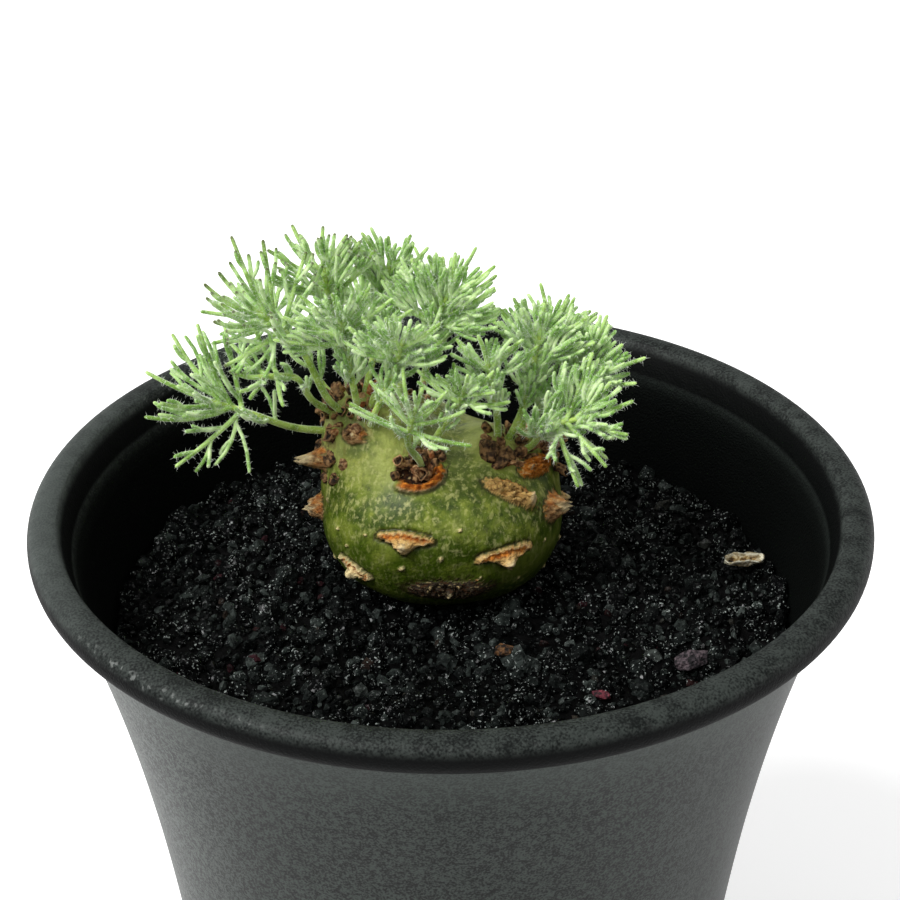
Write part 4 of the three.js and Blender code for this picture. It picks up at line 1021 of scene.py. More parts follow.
@dataclass
class Caudex:
    """The swollen stem with its taproot and the relief of its scars. Millimetres."""

    around: int = 380
    up: int = 210
    root_top: float = 63.2
    root_bottom: float = 42.0
    root_top_radius: float = 5.1
    root_tip_radius: float = 0.8
    root_taper: float = 0.8
    lump_size: float = 4.2
    lump_height: float = 0.22
    wrinkles: tuple = (2.6, 6.0)
    root_sides: int = 28
    root_rings: int = 12
    root_tip: float = 0.3
    root_overlap: float = 3.0
    speck_height: float = 0.6
    crown_band: tuple = (0.55, 1.15)

    def relief(self, points: np.ndarray) -> dict[str, np.ndarray]:
        """Raises every scar and speck out of the skin.

        Args:
            points: the skin's points, changed in place.

        Returns:
            How much of scar, edge, rust, tip and tone lies at each point.
        """
        marks = {name: np.zeros(len(points)) for name in ("scar", "edge", "rust", "tip", "tone")}
        base = points.copy()
        broad, fine = self.wrinkles
        rough = np.array([noise.noise(Vector(p * broad)) + 0.5 * noise.noise(Vector(p * fine)) for p in base])
        for scar in SCARS:
            lift, strengths = scar.press(base, rough)
            points += np.outer(lift, scar.frame()[1])
            for name, values in strengths.items():
                marks[name] = np.maximum(marks[name], values)
        for azimuth, elevation, radius in SPECKS:
            foot, normal, _, _ = LeafScar(azimuth, elevation, radius, radius, 0, 0).frame()
            apart = np.sqrt(((base - foot) ** 2).sum(-1)) / radius * (1 + 0.5 * rough)
            bump = smooth(1.0, 0.35, apart)
            points += np.outer(bump * radius * self.speck_height, normal)
            marks["scar"] = np.maximum(marks["scar"], bump)
            marks["tone"] = np.where(apart < 1.4, Tone.PALE.value, marks["tone"])
        return marks

    def skin(self) -> tuple[np.ndarray, list, dict[str, np.ndarray]]:
        """Returns the stem's points, faces and marks."""
        polar = np.linspace(0, math.pi, self.up + 1)[1:-1]
        turns = np.linspace(0, 2 * math.pi, self.around, endpoint=False)
        angle, turn = np.meshgrid(math.pi - polar, turns, indexing="ij")
        out = np.sin(angle)
        directions = np.stack([out * np.cos(turn), out * np.sin(turn), np.cos(angle)], -1)
        directions = np.concatenate([directions.reshape(-1, 3), [[0, 0, -1], [0, 0, 1]]])
        points = directions * STEM.radius(directions)[:, None] + STEM.centre
        lumps = np.array([noise.noise(Vector(p / self.lump_size)) for p in points])
        points += directions * (lumps * self.lump_height)[:, None]
        marks = self.relief(points)
        crowns = np.zeros(len(points))
        for x, y, z, width in STEM.heads:
            top = unit(vec(x, y, z) - STEM.centre)
            apart = np.arccos(np.clip(directions @ top, -1, 1)) / width
            crowns = np.maximum(crowns, 1 - smooth(*self.crown_band, apart))
        marks["bark"] = crowns
        return points, tube_faces(self.up - 1, self.around), marks

    def taproot(self, first: int) -> tuple[np.ndarray, list]:
        """Returns the buried taproot's points and faces, numbered from first."""
        turns = np.linspace(0, 2 * math.pi, self.root_sides, endpoint=False)
        x, y = STEM.centre[:2]
        rows = []
        for height in np.linspace(self.root_bottom, self.root_top, self.root_rings):
            share = (height - self.root_bottom) / (self.root_top - self.root_bottom)
            widening = (self.root_top_radius - self.root_tip_radius) * share**self.root_taper
            radius = self.root_tip_radius + widening
            level = np.full(self.root_sides, height)
            rows.append(np.stack([x + radius * np.cos(turns), y + radius * np.sin(turns), level], -1))
        ends = [[x, y, self.root_bottom - self.root_tip], [x, y, self.root_top + self.root_overlap]]
        return np.concatenate([*rows, ends]), tube_faces(self.root_rings, self.root_sides, first)

    def build(self) -> bpy.types.Object:
        """Builds and dresses the stem."""
        points, faces, marks = self.skin()
        root_points, root_faces = self.taproot(len(points))
        mesh = mesh_from("stem", np.concatenate([points, root_points]), faces + root_faces)
        for name, values in marks.items():
            add_attribute(mesh, name, np.concatenate([values, np.zeros(len(root_points))]))
        return settle_piece(show(mesh, "swollen_stem"), StemSkin().material(), ["caudex"])


@dataclass(frozen=True)
class DriedBark:
    """Dark brown, dry, fibrous tissue with paler broken ends, painted shade inside the open stumps and dark
    knob ends.
    """

    def material(self) -> bpy.types.Material:
        """Builds the finish."""
        shader = Shader("dried_bark", 0.74, Specular_IOR_Level=0.25)
        fibre = shader.noise(0.5, 5.0)
        shade = shader.attribute("shade")
        dark = shader.ramp(fibre, (0.36, srgb(22, 14, 9)), (0.48, srgb(66, 44, 28)),
                           (0.6, srgb(150, 114, 74)))
        light = shader.ramp(fibre, (0.36, srgb(78, 46, 28)), (0.5, srgb(150, 106, 70)),
                            (0.62, srgb(214, 178, 128)))
        colour = shader.layers(
            dark,
            (shader.step(shade, 0.6, 0.75), light),
            (shader.step(shade, 0.88, 0.94) * 0.6, srgb(172, 88, 36)),
            (shader.attribute("lip") * 0.6, srgb(190, 148, 102)),
            # The hollow mark: painted shade inside the open stumps, and the dark ends of knobs.
            (shader.attribute("hollow") * 0.9, srgb(14, 9, 7)),
        )
        return shader.finish(colour, None, fibre, 0.3)


class StumpKind(Enum):
    """The shapes of a dried leaf base, as (share of length, share of radius, hollow, lip) rows."""

    HOLLOW = ((0.0, 1.15, 0, 0), (0.3, 1.0, 0, 0), (0.6, 0.88, 0, 0), (0.85, 0.92, 0, 0.2),
              (0.97, 1.02, 0, 0.8), (1.0, 0.84, 0.1, 1), (0.94, 0.62, 0.8, 0), (0.76, 0.4, 1, 0))
    HORN = ((0.0, 1.2, 0, 0), (0.2, 1.1, 0, 0), (0.42, 0.95, 0, 0), (0.6, 0.8, 0, 0),
            (0.76, 0.62, 0, 0.1), (0.89, 0.44, 0, 0.5), (0.97, 0.24, 0, 0.9), (1.0, 0.1, 0, 1))
    KNOB = ((0.0, 0.9, 0, 0), (0.25, 1.05, 0, 0), (0.5, 1.15, 0, 0), (0.68, 1.1, 0, 0),
            (0.82, 0.92, 0, 0.1), (0.92, 0.66, 0.2, 0.3), (0.98, 0.36, 0.4, 0.1), (1.0, 0.14, 0.6, 0))


SMALL_KINDS = (StumpKind.HOLLOW, StumpKind.HORN, StumpKind.KNOB, StumpKind.HORN)


@dataclass(frozen=True)
class Stump:
    """One dried leaf base. Millimetres."""

    foot: Point
    lean: Point
    length: float
    radius: float
    kind: StumpKind
    shade: float
    twist: float
    flat: float
    crook: float = 0.28
    ragged: float = 0.16
    waves: tuple = ((1.5, 0.42), (4.5, 0.16))

    def mesh(self, sides: int) -> tuple[np.ndarray, list, dict[str, np.ndarray]]:
        """Returns the stump's points, faces and marks: crooked, flattened and ragged."""
        across = unit(np.cross(vec(0.3, 0.2, 1), self.lean))
        along = np.cross(self.lean, across)
        side = across * math.cos(self.twist) + along * math.sin(self.twist)
        front = along * math.cos(self.twist) - across * math.sin(self.twist)
        turns = np.linspace(0, 2 * math.pi, sides, endpoint=False)
        circle = np.outer(np.cos(turns), side) + np.outer(np.sin(turns) * self.flat, front)
        points, hollow, lip = [], [], []
        for share, wide, hole, edge in self.kind.value:
            centre = self.foot + self.lean * (self.length * share)
            crook = side * (self.crook * self.length * share**2 * math.sin(self.twist * 3))
            uneven = self.ragged * self.radius * share * np.sin(3 * turns + self.twist * 5)
            points.append(centre + crook + circle * (self.radius * wide) + self.lean * uneven[:, None])
            hollow += [hole] * sides
            lip += [edge] * sides
        faces = tube_faces(len(points), sides)
        points = np.concatenate([*points, [self.foot, points[-1].mean(0)]])
        for scale, height in self.waves:
            points += wobble(points, scale) * (height * self.radius)
        marks = {
            "hollow": np.array([*hollow, 0, hollow[-1]]),
            "lip": np.array([*lip, 0, lip[-1]]),
            "shade": np.full(len(points), self.shade),
        }
        return points, faces, marks


@dataclass
class OldLeafBases:
    """Dried stumps of shed leaves crowded round each growing point. Millimetres."""

    # Round each growing point: its place, how far out the stumps go, their number and greatest length
    crowns: tuple = (
        (-11.4, 7.8, 85.4, 3.7, 34, 1.9),
        (-3.0, 2.2, 80.8, 1.7, 16, 1.3),
        (6.6, 5.0, 80.6, 2.5, 20, 1.4),
        (11.2, 8.0, 78.6, 2.0, 14, 1.6),
        (-4, 15, 81.0, 2.4, 14, 1.7),
    )
    # Larger single stumps: azimuth and elevation in degrees, length, radius, shade and shape
    large: tuple = (
        (173, 42, 1.5, 1.1, 0.5, StumpKind.HOLLOW), (168, 50, 2.0, 0.85, 0.8, StumpKind.KNOB),
        (177, 51, 1.9, 0.8, 0.3, StumpKind.HORN), (164, 54, 2.2, 0.75, 0.72, StumpKind.HORN),
        (176, 58, 2.2, 0.75, 0.4, StumpKind.KNOB), (-169, 61, 1.8, 0.7, 0.3, StumpKind.HORN),
        (-161, 50, 1.2, 0.75, 0.78, StumpKind.KNOB), (-171, 42, 1.0, 0.6, 0.66, StumpKind.HORN),
        (178, 31, 1.1, 0.8, 0.4, StumpKind.KNOB), (-37, 56, 1.7, 1.2, 0.45, StumpKind.KNOB),
        (-27, 48, 1.5, 1.0, 0.3, StumpKind.KNOB), (-38, 48, 1.1, 0.8, 0.5, StumpKind.KNOB),
        (-3, 37, 2.3, 0.62, 0.7, StumpKind.HORN), (5, 30, 2.5, 0.6, 0.74, StumpKind.HOLLOW),
        (-18, 44, 1.6, 0.7, 0.35, StumpKind.HORN), (-127, 53, 1.5, 0.62, 0.78, StumpKind.HOLLOW),
        (-127, 45, 0.9, 0.55, 0.3, StumpKind.KNOB), (-110, 60, 1.8, 0.75, 0.4, StumpKind.KNOB),
        (-100, 66, 1.9, 0.8, 0.55, StumpKind.KNOB), (-94, 58, 1.5, 0.65, 0.45, StumpKind.HORN),
        (-112, 50, 1.2, 0.6, 0.68, StumpKind.HORN), (-167, 34, 0.8, 0.95, 0.35, StumpKind.KNOB),
        (-163, 26, 0.6, 0.85, 0.5, StumpKind.KNOB), (-170, 24, 0.7, 0.8, 0.3, StumpKind.KNOB),
        (-158, 35, 0.5, 0.7, 0.7, StumpKind.KNOB), (-171, 40, 1.0, 0.8, 0.4, StumpKind.HOLLOW),
    )
    radius: float = 0.62
    sink: float = 0.9
    sides: int = 12
    seed: int = 17
    lean_out: float = 0.5
    lean_stray: float = 0.5
    length_range: tuple = (0.1, 0.95)
    radius_range: tuple = (0.5, 1.15)
    flat_range: tuple = (0.5, 1.0)
    most_twist: float = 6
    large_length: float = 0.7
    large_flat: float = 0.8
    large_sway: float = 0.3
    large_upturn: float = 0.25

    def small(self, random: SeededRandom) -> list[Stump]:
        """Returns the many small stumps, spiralled round each growing point."""
        stumps = []
        for x, y, z, spread, count, length in self.crowns:
            middle = unit(vec(x, y, z) - STEM.centre)
            normal = STEM.normal(middle)
            side = unit(np.cross(vec(0, 0, 1), normal))
            front = np.cross(normal, side)
            for i in range(count):
                angle = GOLDEN_ANGLE * i
                away = spread * math.sqrt((i + 1.5) / (count + 1))
                outward = math.cos(angle) * side + math.sin(angle) * front
                direction = unit(STEM.point(middle) + outward * away - STEM.centre)
                stray = self.lean_stray * vec(random() - 0.5, random() - 0.5, random() - 0.5)
                lean = unit(STEM.normal(direction) + self.lean_out * outward + stray)
                kind = SMALL_KINDS[int(random() * 3.999)]
                stumps.append(Stump(
                    STEM.point(direction, -self.sink), lean,
                    self.sink + length * random.between(*self.length_range),
                    self.radius * random.between(*self.radius_range), kind, random(),
                    random.between(0, self.most_twist), random.between(*self.flat_range),
                ))
        return stumps

    def build(self) -> bpy.types.Object:
        """Builds and dresses all the stumps as one piece."""
        random = SeededRandom(self.seed)
        stumps = self.small(random)
        for azimuth, elevation, length, radius, shade, kind in self.large:
            foot, normal, across, _ = LeafScar(azimuth, elevation, 1, 1, 0, 0).frame()
            sway = across * random.between(-self.large_sway, self.large_sway)
            lean = unit(normal + sway + vec(0, 0, self.large_upturn))
            stumps.append(Stump(foot - normal * self.sink, lean, self.sink + length * self.large_length,
                                radius, kind, shade, random.between(0, self.most_twist), self.large_flat))
        points, faces, marks, first = [], [], {"hollow": [], "lip": [], "shade": []}, 0
        for stump in stumps:
            rows, skin, values = stump.mesh(self.sides)
            points.append(rows)
            faces += [tuple(first + n for n in face) for face in skin]
            first += len(rows)
            for name in marks:
                marks[name].append(values[name])
        mesh = mesh_from("stumps", np.concatenate(points), faces)
        for name, values in marks.items():
            add_attribute(mesh, name, np.concatenate(values))
        return settle_piece(show(mesh, "old_leaf_bases"), DriedBark().material())


@dataclass(frozen=True)
class LeafRow:
    """Where one leaf stands and how far its blade reaches. Millimetres and degrees.

    Attributes:
        name: the solid leaf's name.
        foot: where the petiole leaves the stem.
        hub: where the blade starts.
        aim: the direction of its middle axis.
        face: the direction of its upper side.
        reach: the length of its rays.
        pairs: how many pairs of side rays it has.
        spread: the angle of the first pair.
        fullness: how densely it forks, below 0 for a sparse blade.
        dryness: how brown its tips are, from 0 to 1.
    """

    name: str
    foot: Triple
    hub: Triple
    aim: Triple
    face: Triple
    reach: float
    pairs: int
    spread: float
    fullness: float
    dryness: float = 0.0


LEAVES = (
    LeafRow("leaf_left_low", (-14.2, 6.8, 81.8), (-21.8, 3, 86.3),
            (-0.9, -0.05, 0.36), (0.15, -0.75, 0.6), 10.6, 3, 62, -0.2, 0.35),
    LeafRow("leaf_left_up", (-12.6, 5.6, 85.8), (-17.2, 4.4, 95),
            (-0.72, 0, 0.62), (0.3, -0.75, 0.5), 9.6, 3, 70, -0.1, 1.0),
    LeafRow("leaf_left_mid", (-13.6, 7, 84.6), (-17.6, 1.4, 91.4),
            (-0.85, -0.3, 0.1), (-0.1, -0.6, 0.75), 5.6, 2, 80, 0.1, 0.1),
    LeafRow("leaf_crown_left", (-10.6, 5.2, 86.8), (-10.9, 3, 94.2),
            (-0.1, -0.35, 0.9), (0, -0.85, 0.4), 7.4, 3, 86, 0.8, 0.2),
    LeafRow("leaf_top_left", (-11.4, 8.6, 87.2), (-12.8, 9.2, 96.4),
            (-0.12, 0.1, 1), (0, -0.9, 0.3), 7.9, 3, 64, 0.5, 0.8),
    LeafRow("leaf_top", (-8.6, 8, 86), (-6.8, 11, 95.6),
            (0.12, 0.12, 0.95), (0, -0.9, 0.3), 7, 3, 66, 0.7, 0.5),
    LeafRow("leaf_top_right", (-7.6, 5.6, 84.2), (-1.6, 8.4, 93.4),
            (0.35, 0.05, 0.9), (-0.2, -0.85, 0.35), 8.4, 3, 74, 0.8, 0.15),
    LeafRow("leaf_crown_mid", (-8.6, 3.6, 84.8), (-5.4, 1, 93.2),
            (0.15, -0.45, 0.8), (0, -0.8, 0.5), 6.8, 3, 88, 0.9, 0.1),
    LeafRow("leaf_front", (-3.3, 0.6, 81.6), (-4.3, -3, 86.8),
            (0.2, -0.3, 0.85), (-0.05, -0.85, 0.5), 6.9, 3, 88, -0.7, 0.0),
    LeafRow("leaf_front_up", (-2, 2.4, 81.8), (1, -0.4, 89),
            (0.2, -0.45, 0.8), (0, -0.8, 0.5), 5.6, 2, 84, 0.5, 0.0),
    LeafRow("leaf_middle", (5, 5.2, 82), (4.4, 3.6, 89.4),
            (-0.15, -0.15, 0.95), (0.1, -0.85, 0.4), 6.2, 2, 84, 0.7, 0.0),
    LeafRow("leaf_right_up", (6.8, 5.4, 82.2), (9, 6.4, 89.6),
            (0.15, 0.05, 0.95), (0.1, -0.85, 0.4), 7.6, 3, 60, 1.0, 0.0),
    LeafRow("leaf_right_low", (8.8, 4.5, 81), (11, 1.8, 85.1),
            (0.84, -0.25, 0.34), (0.1, -0.7, 0.65), 8.7, 3, 82, 0.7, 0.0),
    LeafRow("leaf_right", (9.6, 7.4, 81.6), (12.4, 6.2, 87.4),
            (0.72, -0.05, 0.62), (-0.2, -0.75, 0.6), 8.2, 3, 76, 1.0, 0.0),
    LeafRow("leaf_back_right", (8.4, 10.4, 81), (10.4, 15.4, 86),
            (0.45, 0.7, 0.5), (-0.1, 0.6, -0.75), 8, 3, 82, 0.6, 0.0),
    LeafRow("leaf_back", (-3.2, 16.6, 82.6), (-1, 19.4, 88.8),
            (0.1, 0.75, 0.6), (0, 0.6, -0.75), 8, 3, 84, 0.5, 0.0),
    LeafRow("leaf_back_left", (-6.2, 14.6, 83), (-9, 18.4, 89.4),
            (-0.3, 0.65, 0.65), (0, 0.6, -0.75), 8, 3, 84, 0.5, 0.1),
    LeafRow("leaf_back_far", (-13.4, 11, 84.4), (-18, 13.2, 90.6),
            (-0.8, 0.35, 0.45), (0.2, 0.5, -0.8), 8, 3, 80, 0.3, 0.3),
)


@dataclass
class Canopy:
    """Every stalk grown so far, as thick segments, so that no new ray crosses one. Millimetres."""

    leaf_gap: float = 0.3
    own_gap: float = 0.12
    stem_gap: float = 0.45
    rows: list = field(default_factory=list)

    def add(self, start: Point, end: Point, radius: float, leaf: int, branch: int) -> None:
        """Remembers one segment."""
        self.rows.append((*start, *end, radius, leaf, branch))

    def clear_of_leaves(self, start: Point, end: Point, radius: float, leaf: int, branch: int) -> bool:
        """Returns whether a segment misses all others, apart from one branch of its own leaf."""
        table = np.array(self.rows)
        a, b, thick = table[:, 0:3], table[:, 3:6], table[:, 6]
        own = table[:, 7] == leaf
        u, v, w = end - start, b - a, start - a
        uu, uv, vv = float(u @ u), v @ u, (v * v).sum(-1)
        uw, vw = w @ u, (v * w).sum(-1)
        det = uu * vv - uv * uv
        s = np.where(det < 1e-9, 0.0, np.clip((uv * vw - vv * uw) / np.maximum(det, 1e-12), 0, 1))
        t = (uv * s + vw) / vv
        s = np.where(t < 0, np.clip(-uw / uu, 0, 1), np.where(t > 1, np.clip((uv - uw) / uu, 0, 1), s))
        t = np.clip(t, 0, 1)
        gap = np.sqrt(((w + u * s[:, None] - v * t[:, None]) ** 2).sum(-1))
        need = radius + thick + np.where(own, self.own_gap, self.leaf_gap)
        skipped = own & (table[:, 8] == branch)
        return not bool(((gap < need) & ~skipped).any())

    def clear_of_stem(self, start: Point, end: Point, radius: float) -> bool:
        """Returns whether a segment stays off the swollen stem."""
        shares = np.array([0, 0.25, 0.5, 0.75, 1])[:, None]
        offsets = start + (end - start) * shares - STEM.centre
        far = np.sqrt((offsets**2).sum(-1))
        return not bool((far - STEM.radius(offsets / far[:, None]) < radius + self.stem_gap).any())


@dataclass(frozen=True)
class Stalk:
    """One thin stalk as a smooth path: points, radius at each, and its tint from 0, petiole, to 1, tip."""

    points: tuple
    radii: tuple
    tint: float


@dataclass
class Leaf:
    """One leaf as its solid has it: a petiole and the rays that fan out of its hub. Millimetres."""

    index: int
    row: LeafRow
    canopy: Canopy
    petiole_radius: float = 0.62
    petiole_taper: float = 0.6
    petiole_steps: int = 4
    petiole_bend: float = 0.4
    petiole_lead: float = 0.35
    petiole_foot: float = 0.6
    ray_radius: float = 0.46
    twig_radius: float = 0.42
    tip_length: float = 0.35
    hub_step: float = 1.25
    hub_share: float = 0.7
    spread_slack: float = 0.35
    # A side ray's share of the reach and what each further pair adds to it
    ray_share: tuple = (0.9, 0.03)
    # How far a side ray leans towards the upper side, and how much that varies
    ray_face: tuple = (0.1, 0.14)
    back_lean: float = 0.75
    back_share: float = 0.75
    ray_step: float = 2.3
    ray_root: float = 1.0
    ray_lift: float = 0.3
    ray_clear_from: float = 1.7
    tries: int = 14
    stray: tuple = (0.3, 0.4)
    seed: int = 100
    # The round petiole of the fine mesh: its points, how deep it roots, and its thickness
    round_points: int = 9
    round_root: float = 0.9
    round_slim: tuple = (1.0, 0.72, 0.7)
    stalks: list = field(default_factory=list)
    rays: list = field(default_factory=list)

    def __post_init__(self) -> None:
        """Starts the leaf's own row of random numbers."""
        self.random = SeededRandom(self.seed + self.index)
        self.aim = unit(vec(*self.row.aim))
        self.face = unit(vec(*self.row.face))
        self.side = unit(np.cross(self.face, self.aim))
        self.branches = 0

    def jitter(self, amount: float) -> float:
        """Returns a random number from -amount to amount."""
        return (self.random() * 2 - 1) * amount

    def ring(self, centre: Point, direction: Point, radius: float) -> np.ndarray:
        """Returns the three corners of the solid stalk's section."""
        side = unit(np.cross(self.face, direction))
        top = unit(np.cross(direction, side))
        angles = math.pi / 2 + 2 * math.pi * np.arange(3) / 3
        return centre + radius * (np.outer(np.cos(angles), side) + np.outer(np.sin(angles), top))

    def petiole(self) -> Callable[[float], tuple[Point, Point]]:
        """Returns a function from a share of the petiole to its point and tangent."""
        direction = unit(vec(*self.row.foot) - STEM.centre)
        hub = vec(*self.row.hub)
        start = STEM.point(direction, self.canopy.leaf_gap + self.petiole_radius * self.petiole_foot)
        length = math.dist(start, hub)
        corners = (start, start + STEM.normal(direction) * length * self.petiole_bend,
                   hub - self.aim * length * self.petiole_lead, hub)

        def bezier(t: float) -> Point:
            """Returns the curve's point."""
            p0, p1, p2, p3 = corners
            return (1 - t) ** 3 * p0 + 3 * (1 - t) ** 2 * t * p1 + 3 * (1 - t) * t**2 * p2 + t**3 * p3

        def at(t: float) -> tuple[Point, Point]:
            """Returns the curve's point and unit tangent."""
            before, after = bezier(max(0.0, t - 1e-4)), bezier(min(1.0, t + 1e-4))
            return bezier(t), unit(after - before)

        return at

    def grow_rays(self) -> None:
        """Grows the petiole, the hub and its rays as the solid leaf has them."""
        curve = self.petiole()
        centre = None
        for step in range(self.petiole_steps + 1):
            share = step / self.petiole_steps
            point, tangent = curve(share)
            thinner = (self.ray_radius - self.petiole_radius) * share * self.petiole_taper
            radius = self.petiole_radius + thinner
            previous = self.ring(point, tangent, radius)
            if centre is not None:
                self.canopy.add(centre, point, radius, self.index, 0)
            centre = point
        path = [curve(share)[0] for share in np.linspace(0, 1, self.round_points)]
        waiting = []
        for pair in range(self.row.pairs):
            after = centre + self.aim * self.hub_step
            upper = self.ring(after, self.aim, self.ray_radius)
            self.canopy.add(centre, after, self.ray_radius, self.index, 0)
            angle = math.radians(self.row.spread) * (1 - pair / (self.row.pairs + self.spread_slack))
            waiting.append((previous, upper, pair, angle))
            previous, centre = upper, after
            path.append(centre)
        self.add_petiole(path)
        reach = self.row.reach
        self.ray(centre, self.aim, reach - self.row.pairs * self.hub_step, centre)
        first_share, more_share = self.ray_share
        forward, sway = self.ray_face
        for lower, upper, pair, angle in waiting:
            for slot, sign in ((0, -1), (2, 1)):
                length = reach * (first_share + more_share * pair) - pair * self.hub_step * self.hub_share
                lean = (self.aim * math.cos(angle) + self.side * (sign * math.sin(angle))
                        + self.face * (forward + self.jitter(sway)))
                self.side_ray(lower, upper, slot, unit(lean), length)
        for lower, upper, pair, angle in waiting[:2]:
            lean = self.aim - self.face * self.back_lean + self.side * (pair - 0.5)
            self.side_ray(lower, upper, 1, unit(lean), reach * self.back_share * min(1, angle))

    def side_ray(self, lower: np.ndarray, upper: np.ndarray, slot: int, direction: Point,
                 length: float) -> None:
        """Grows one ray out of a side of the hub, if any direction near the wanted one is free."""
        after = (slot + 1) % 3
        corners = (lower[slot], lower[after], upper[after])
        middle = sum(corners) / len(corners)
        outward = unit(np.cross(corners[1] - corners[0], corners[2] - corners[0]))
        stray, least = self.stray
        for attempt in range(self.tries):
            amount = 0 if attempt == 0 else stray * (least + attempt / self.tries)
            turned = unit(direction + vec(self.jitter(amount), self.jitter(amount), self.jitter(amount)))
            if turned @ outward < self.ray_lift:
                turned = unit(turned + outward * (self.ray_lift - turned @ outward))
            start, end = middle + turned * self.ray_clear_from, middle + turned * length
            if (self.canopy.clear_of_leaves(start, end, self.ray_radius, self.index, 0)
                    and self.canopy.clear_of_stem(start, end, self.ray_radius)):
                self.ray(middle + turned * self.ray_root, turned, length - self.ray_root, middle)
                return

    def ray(self, start: Point, direction: Point, length: float, root: Point) -> None:
        """Remembers one ray and the room that it takes."""
        self.branches += 1
        steps = max(2, round(length / self.ray_step))
        stride = (length - self.tip_length) / steps
        at = start
        for step in range(steps):
            after = at + direction * stride
            radius = self.ray_radius + (self.twig_radius - self.ray_radius) * (step + 1) / steps
            self.canopy.add(at, after, radius, self.index, self.branches)
            at = after
        self.rays.append((root, direction, math.dist(root, start + direction * length)))

    def add_petiole(self, path: list) -> None:
        """Adds the round, slightly thicker petiole, rooted in the stem."""
        points = [path[0] - (path[1] - path[0]) * self.round_root, *path]
        foot, hub, slim = self.round_slim
        thick = np.linspace(foot, hub, len(points)) * self.petiole_radius * slim
        self.stalks.append(Stalk(tuple(points), tuple(thick), 0.0))


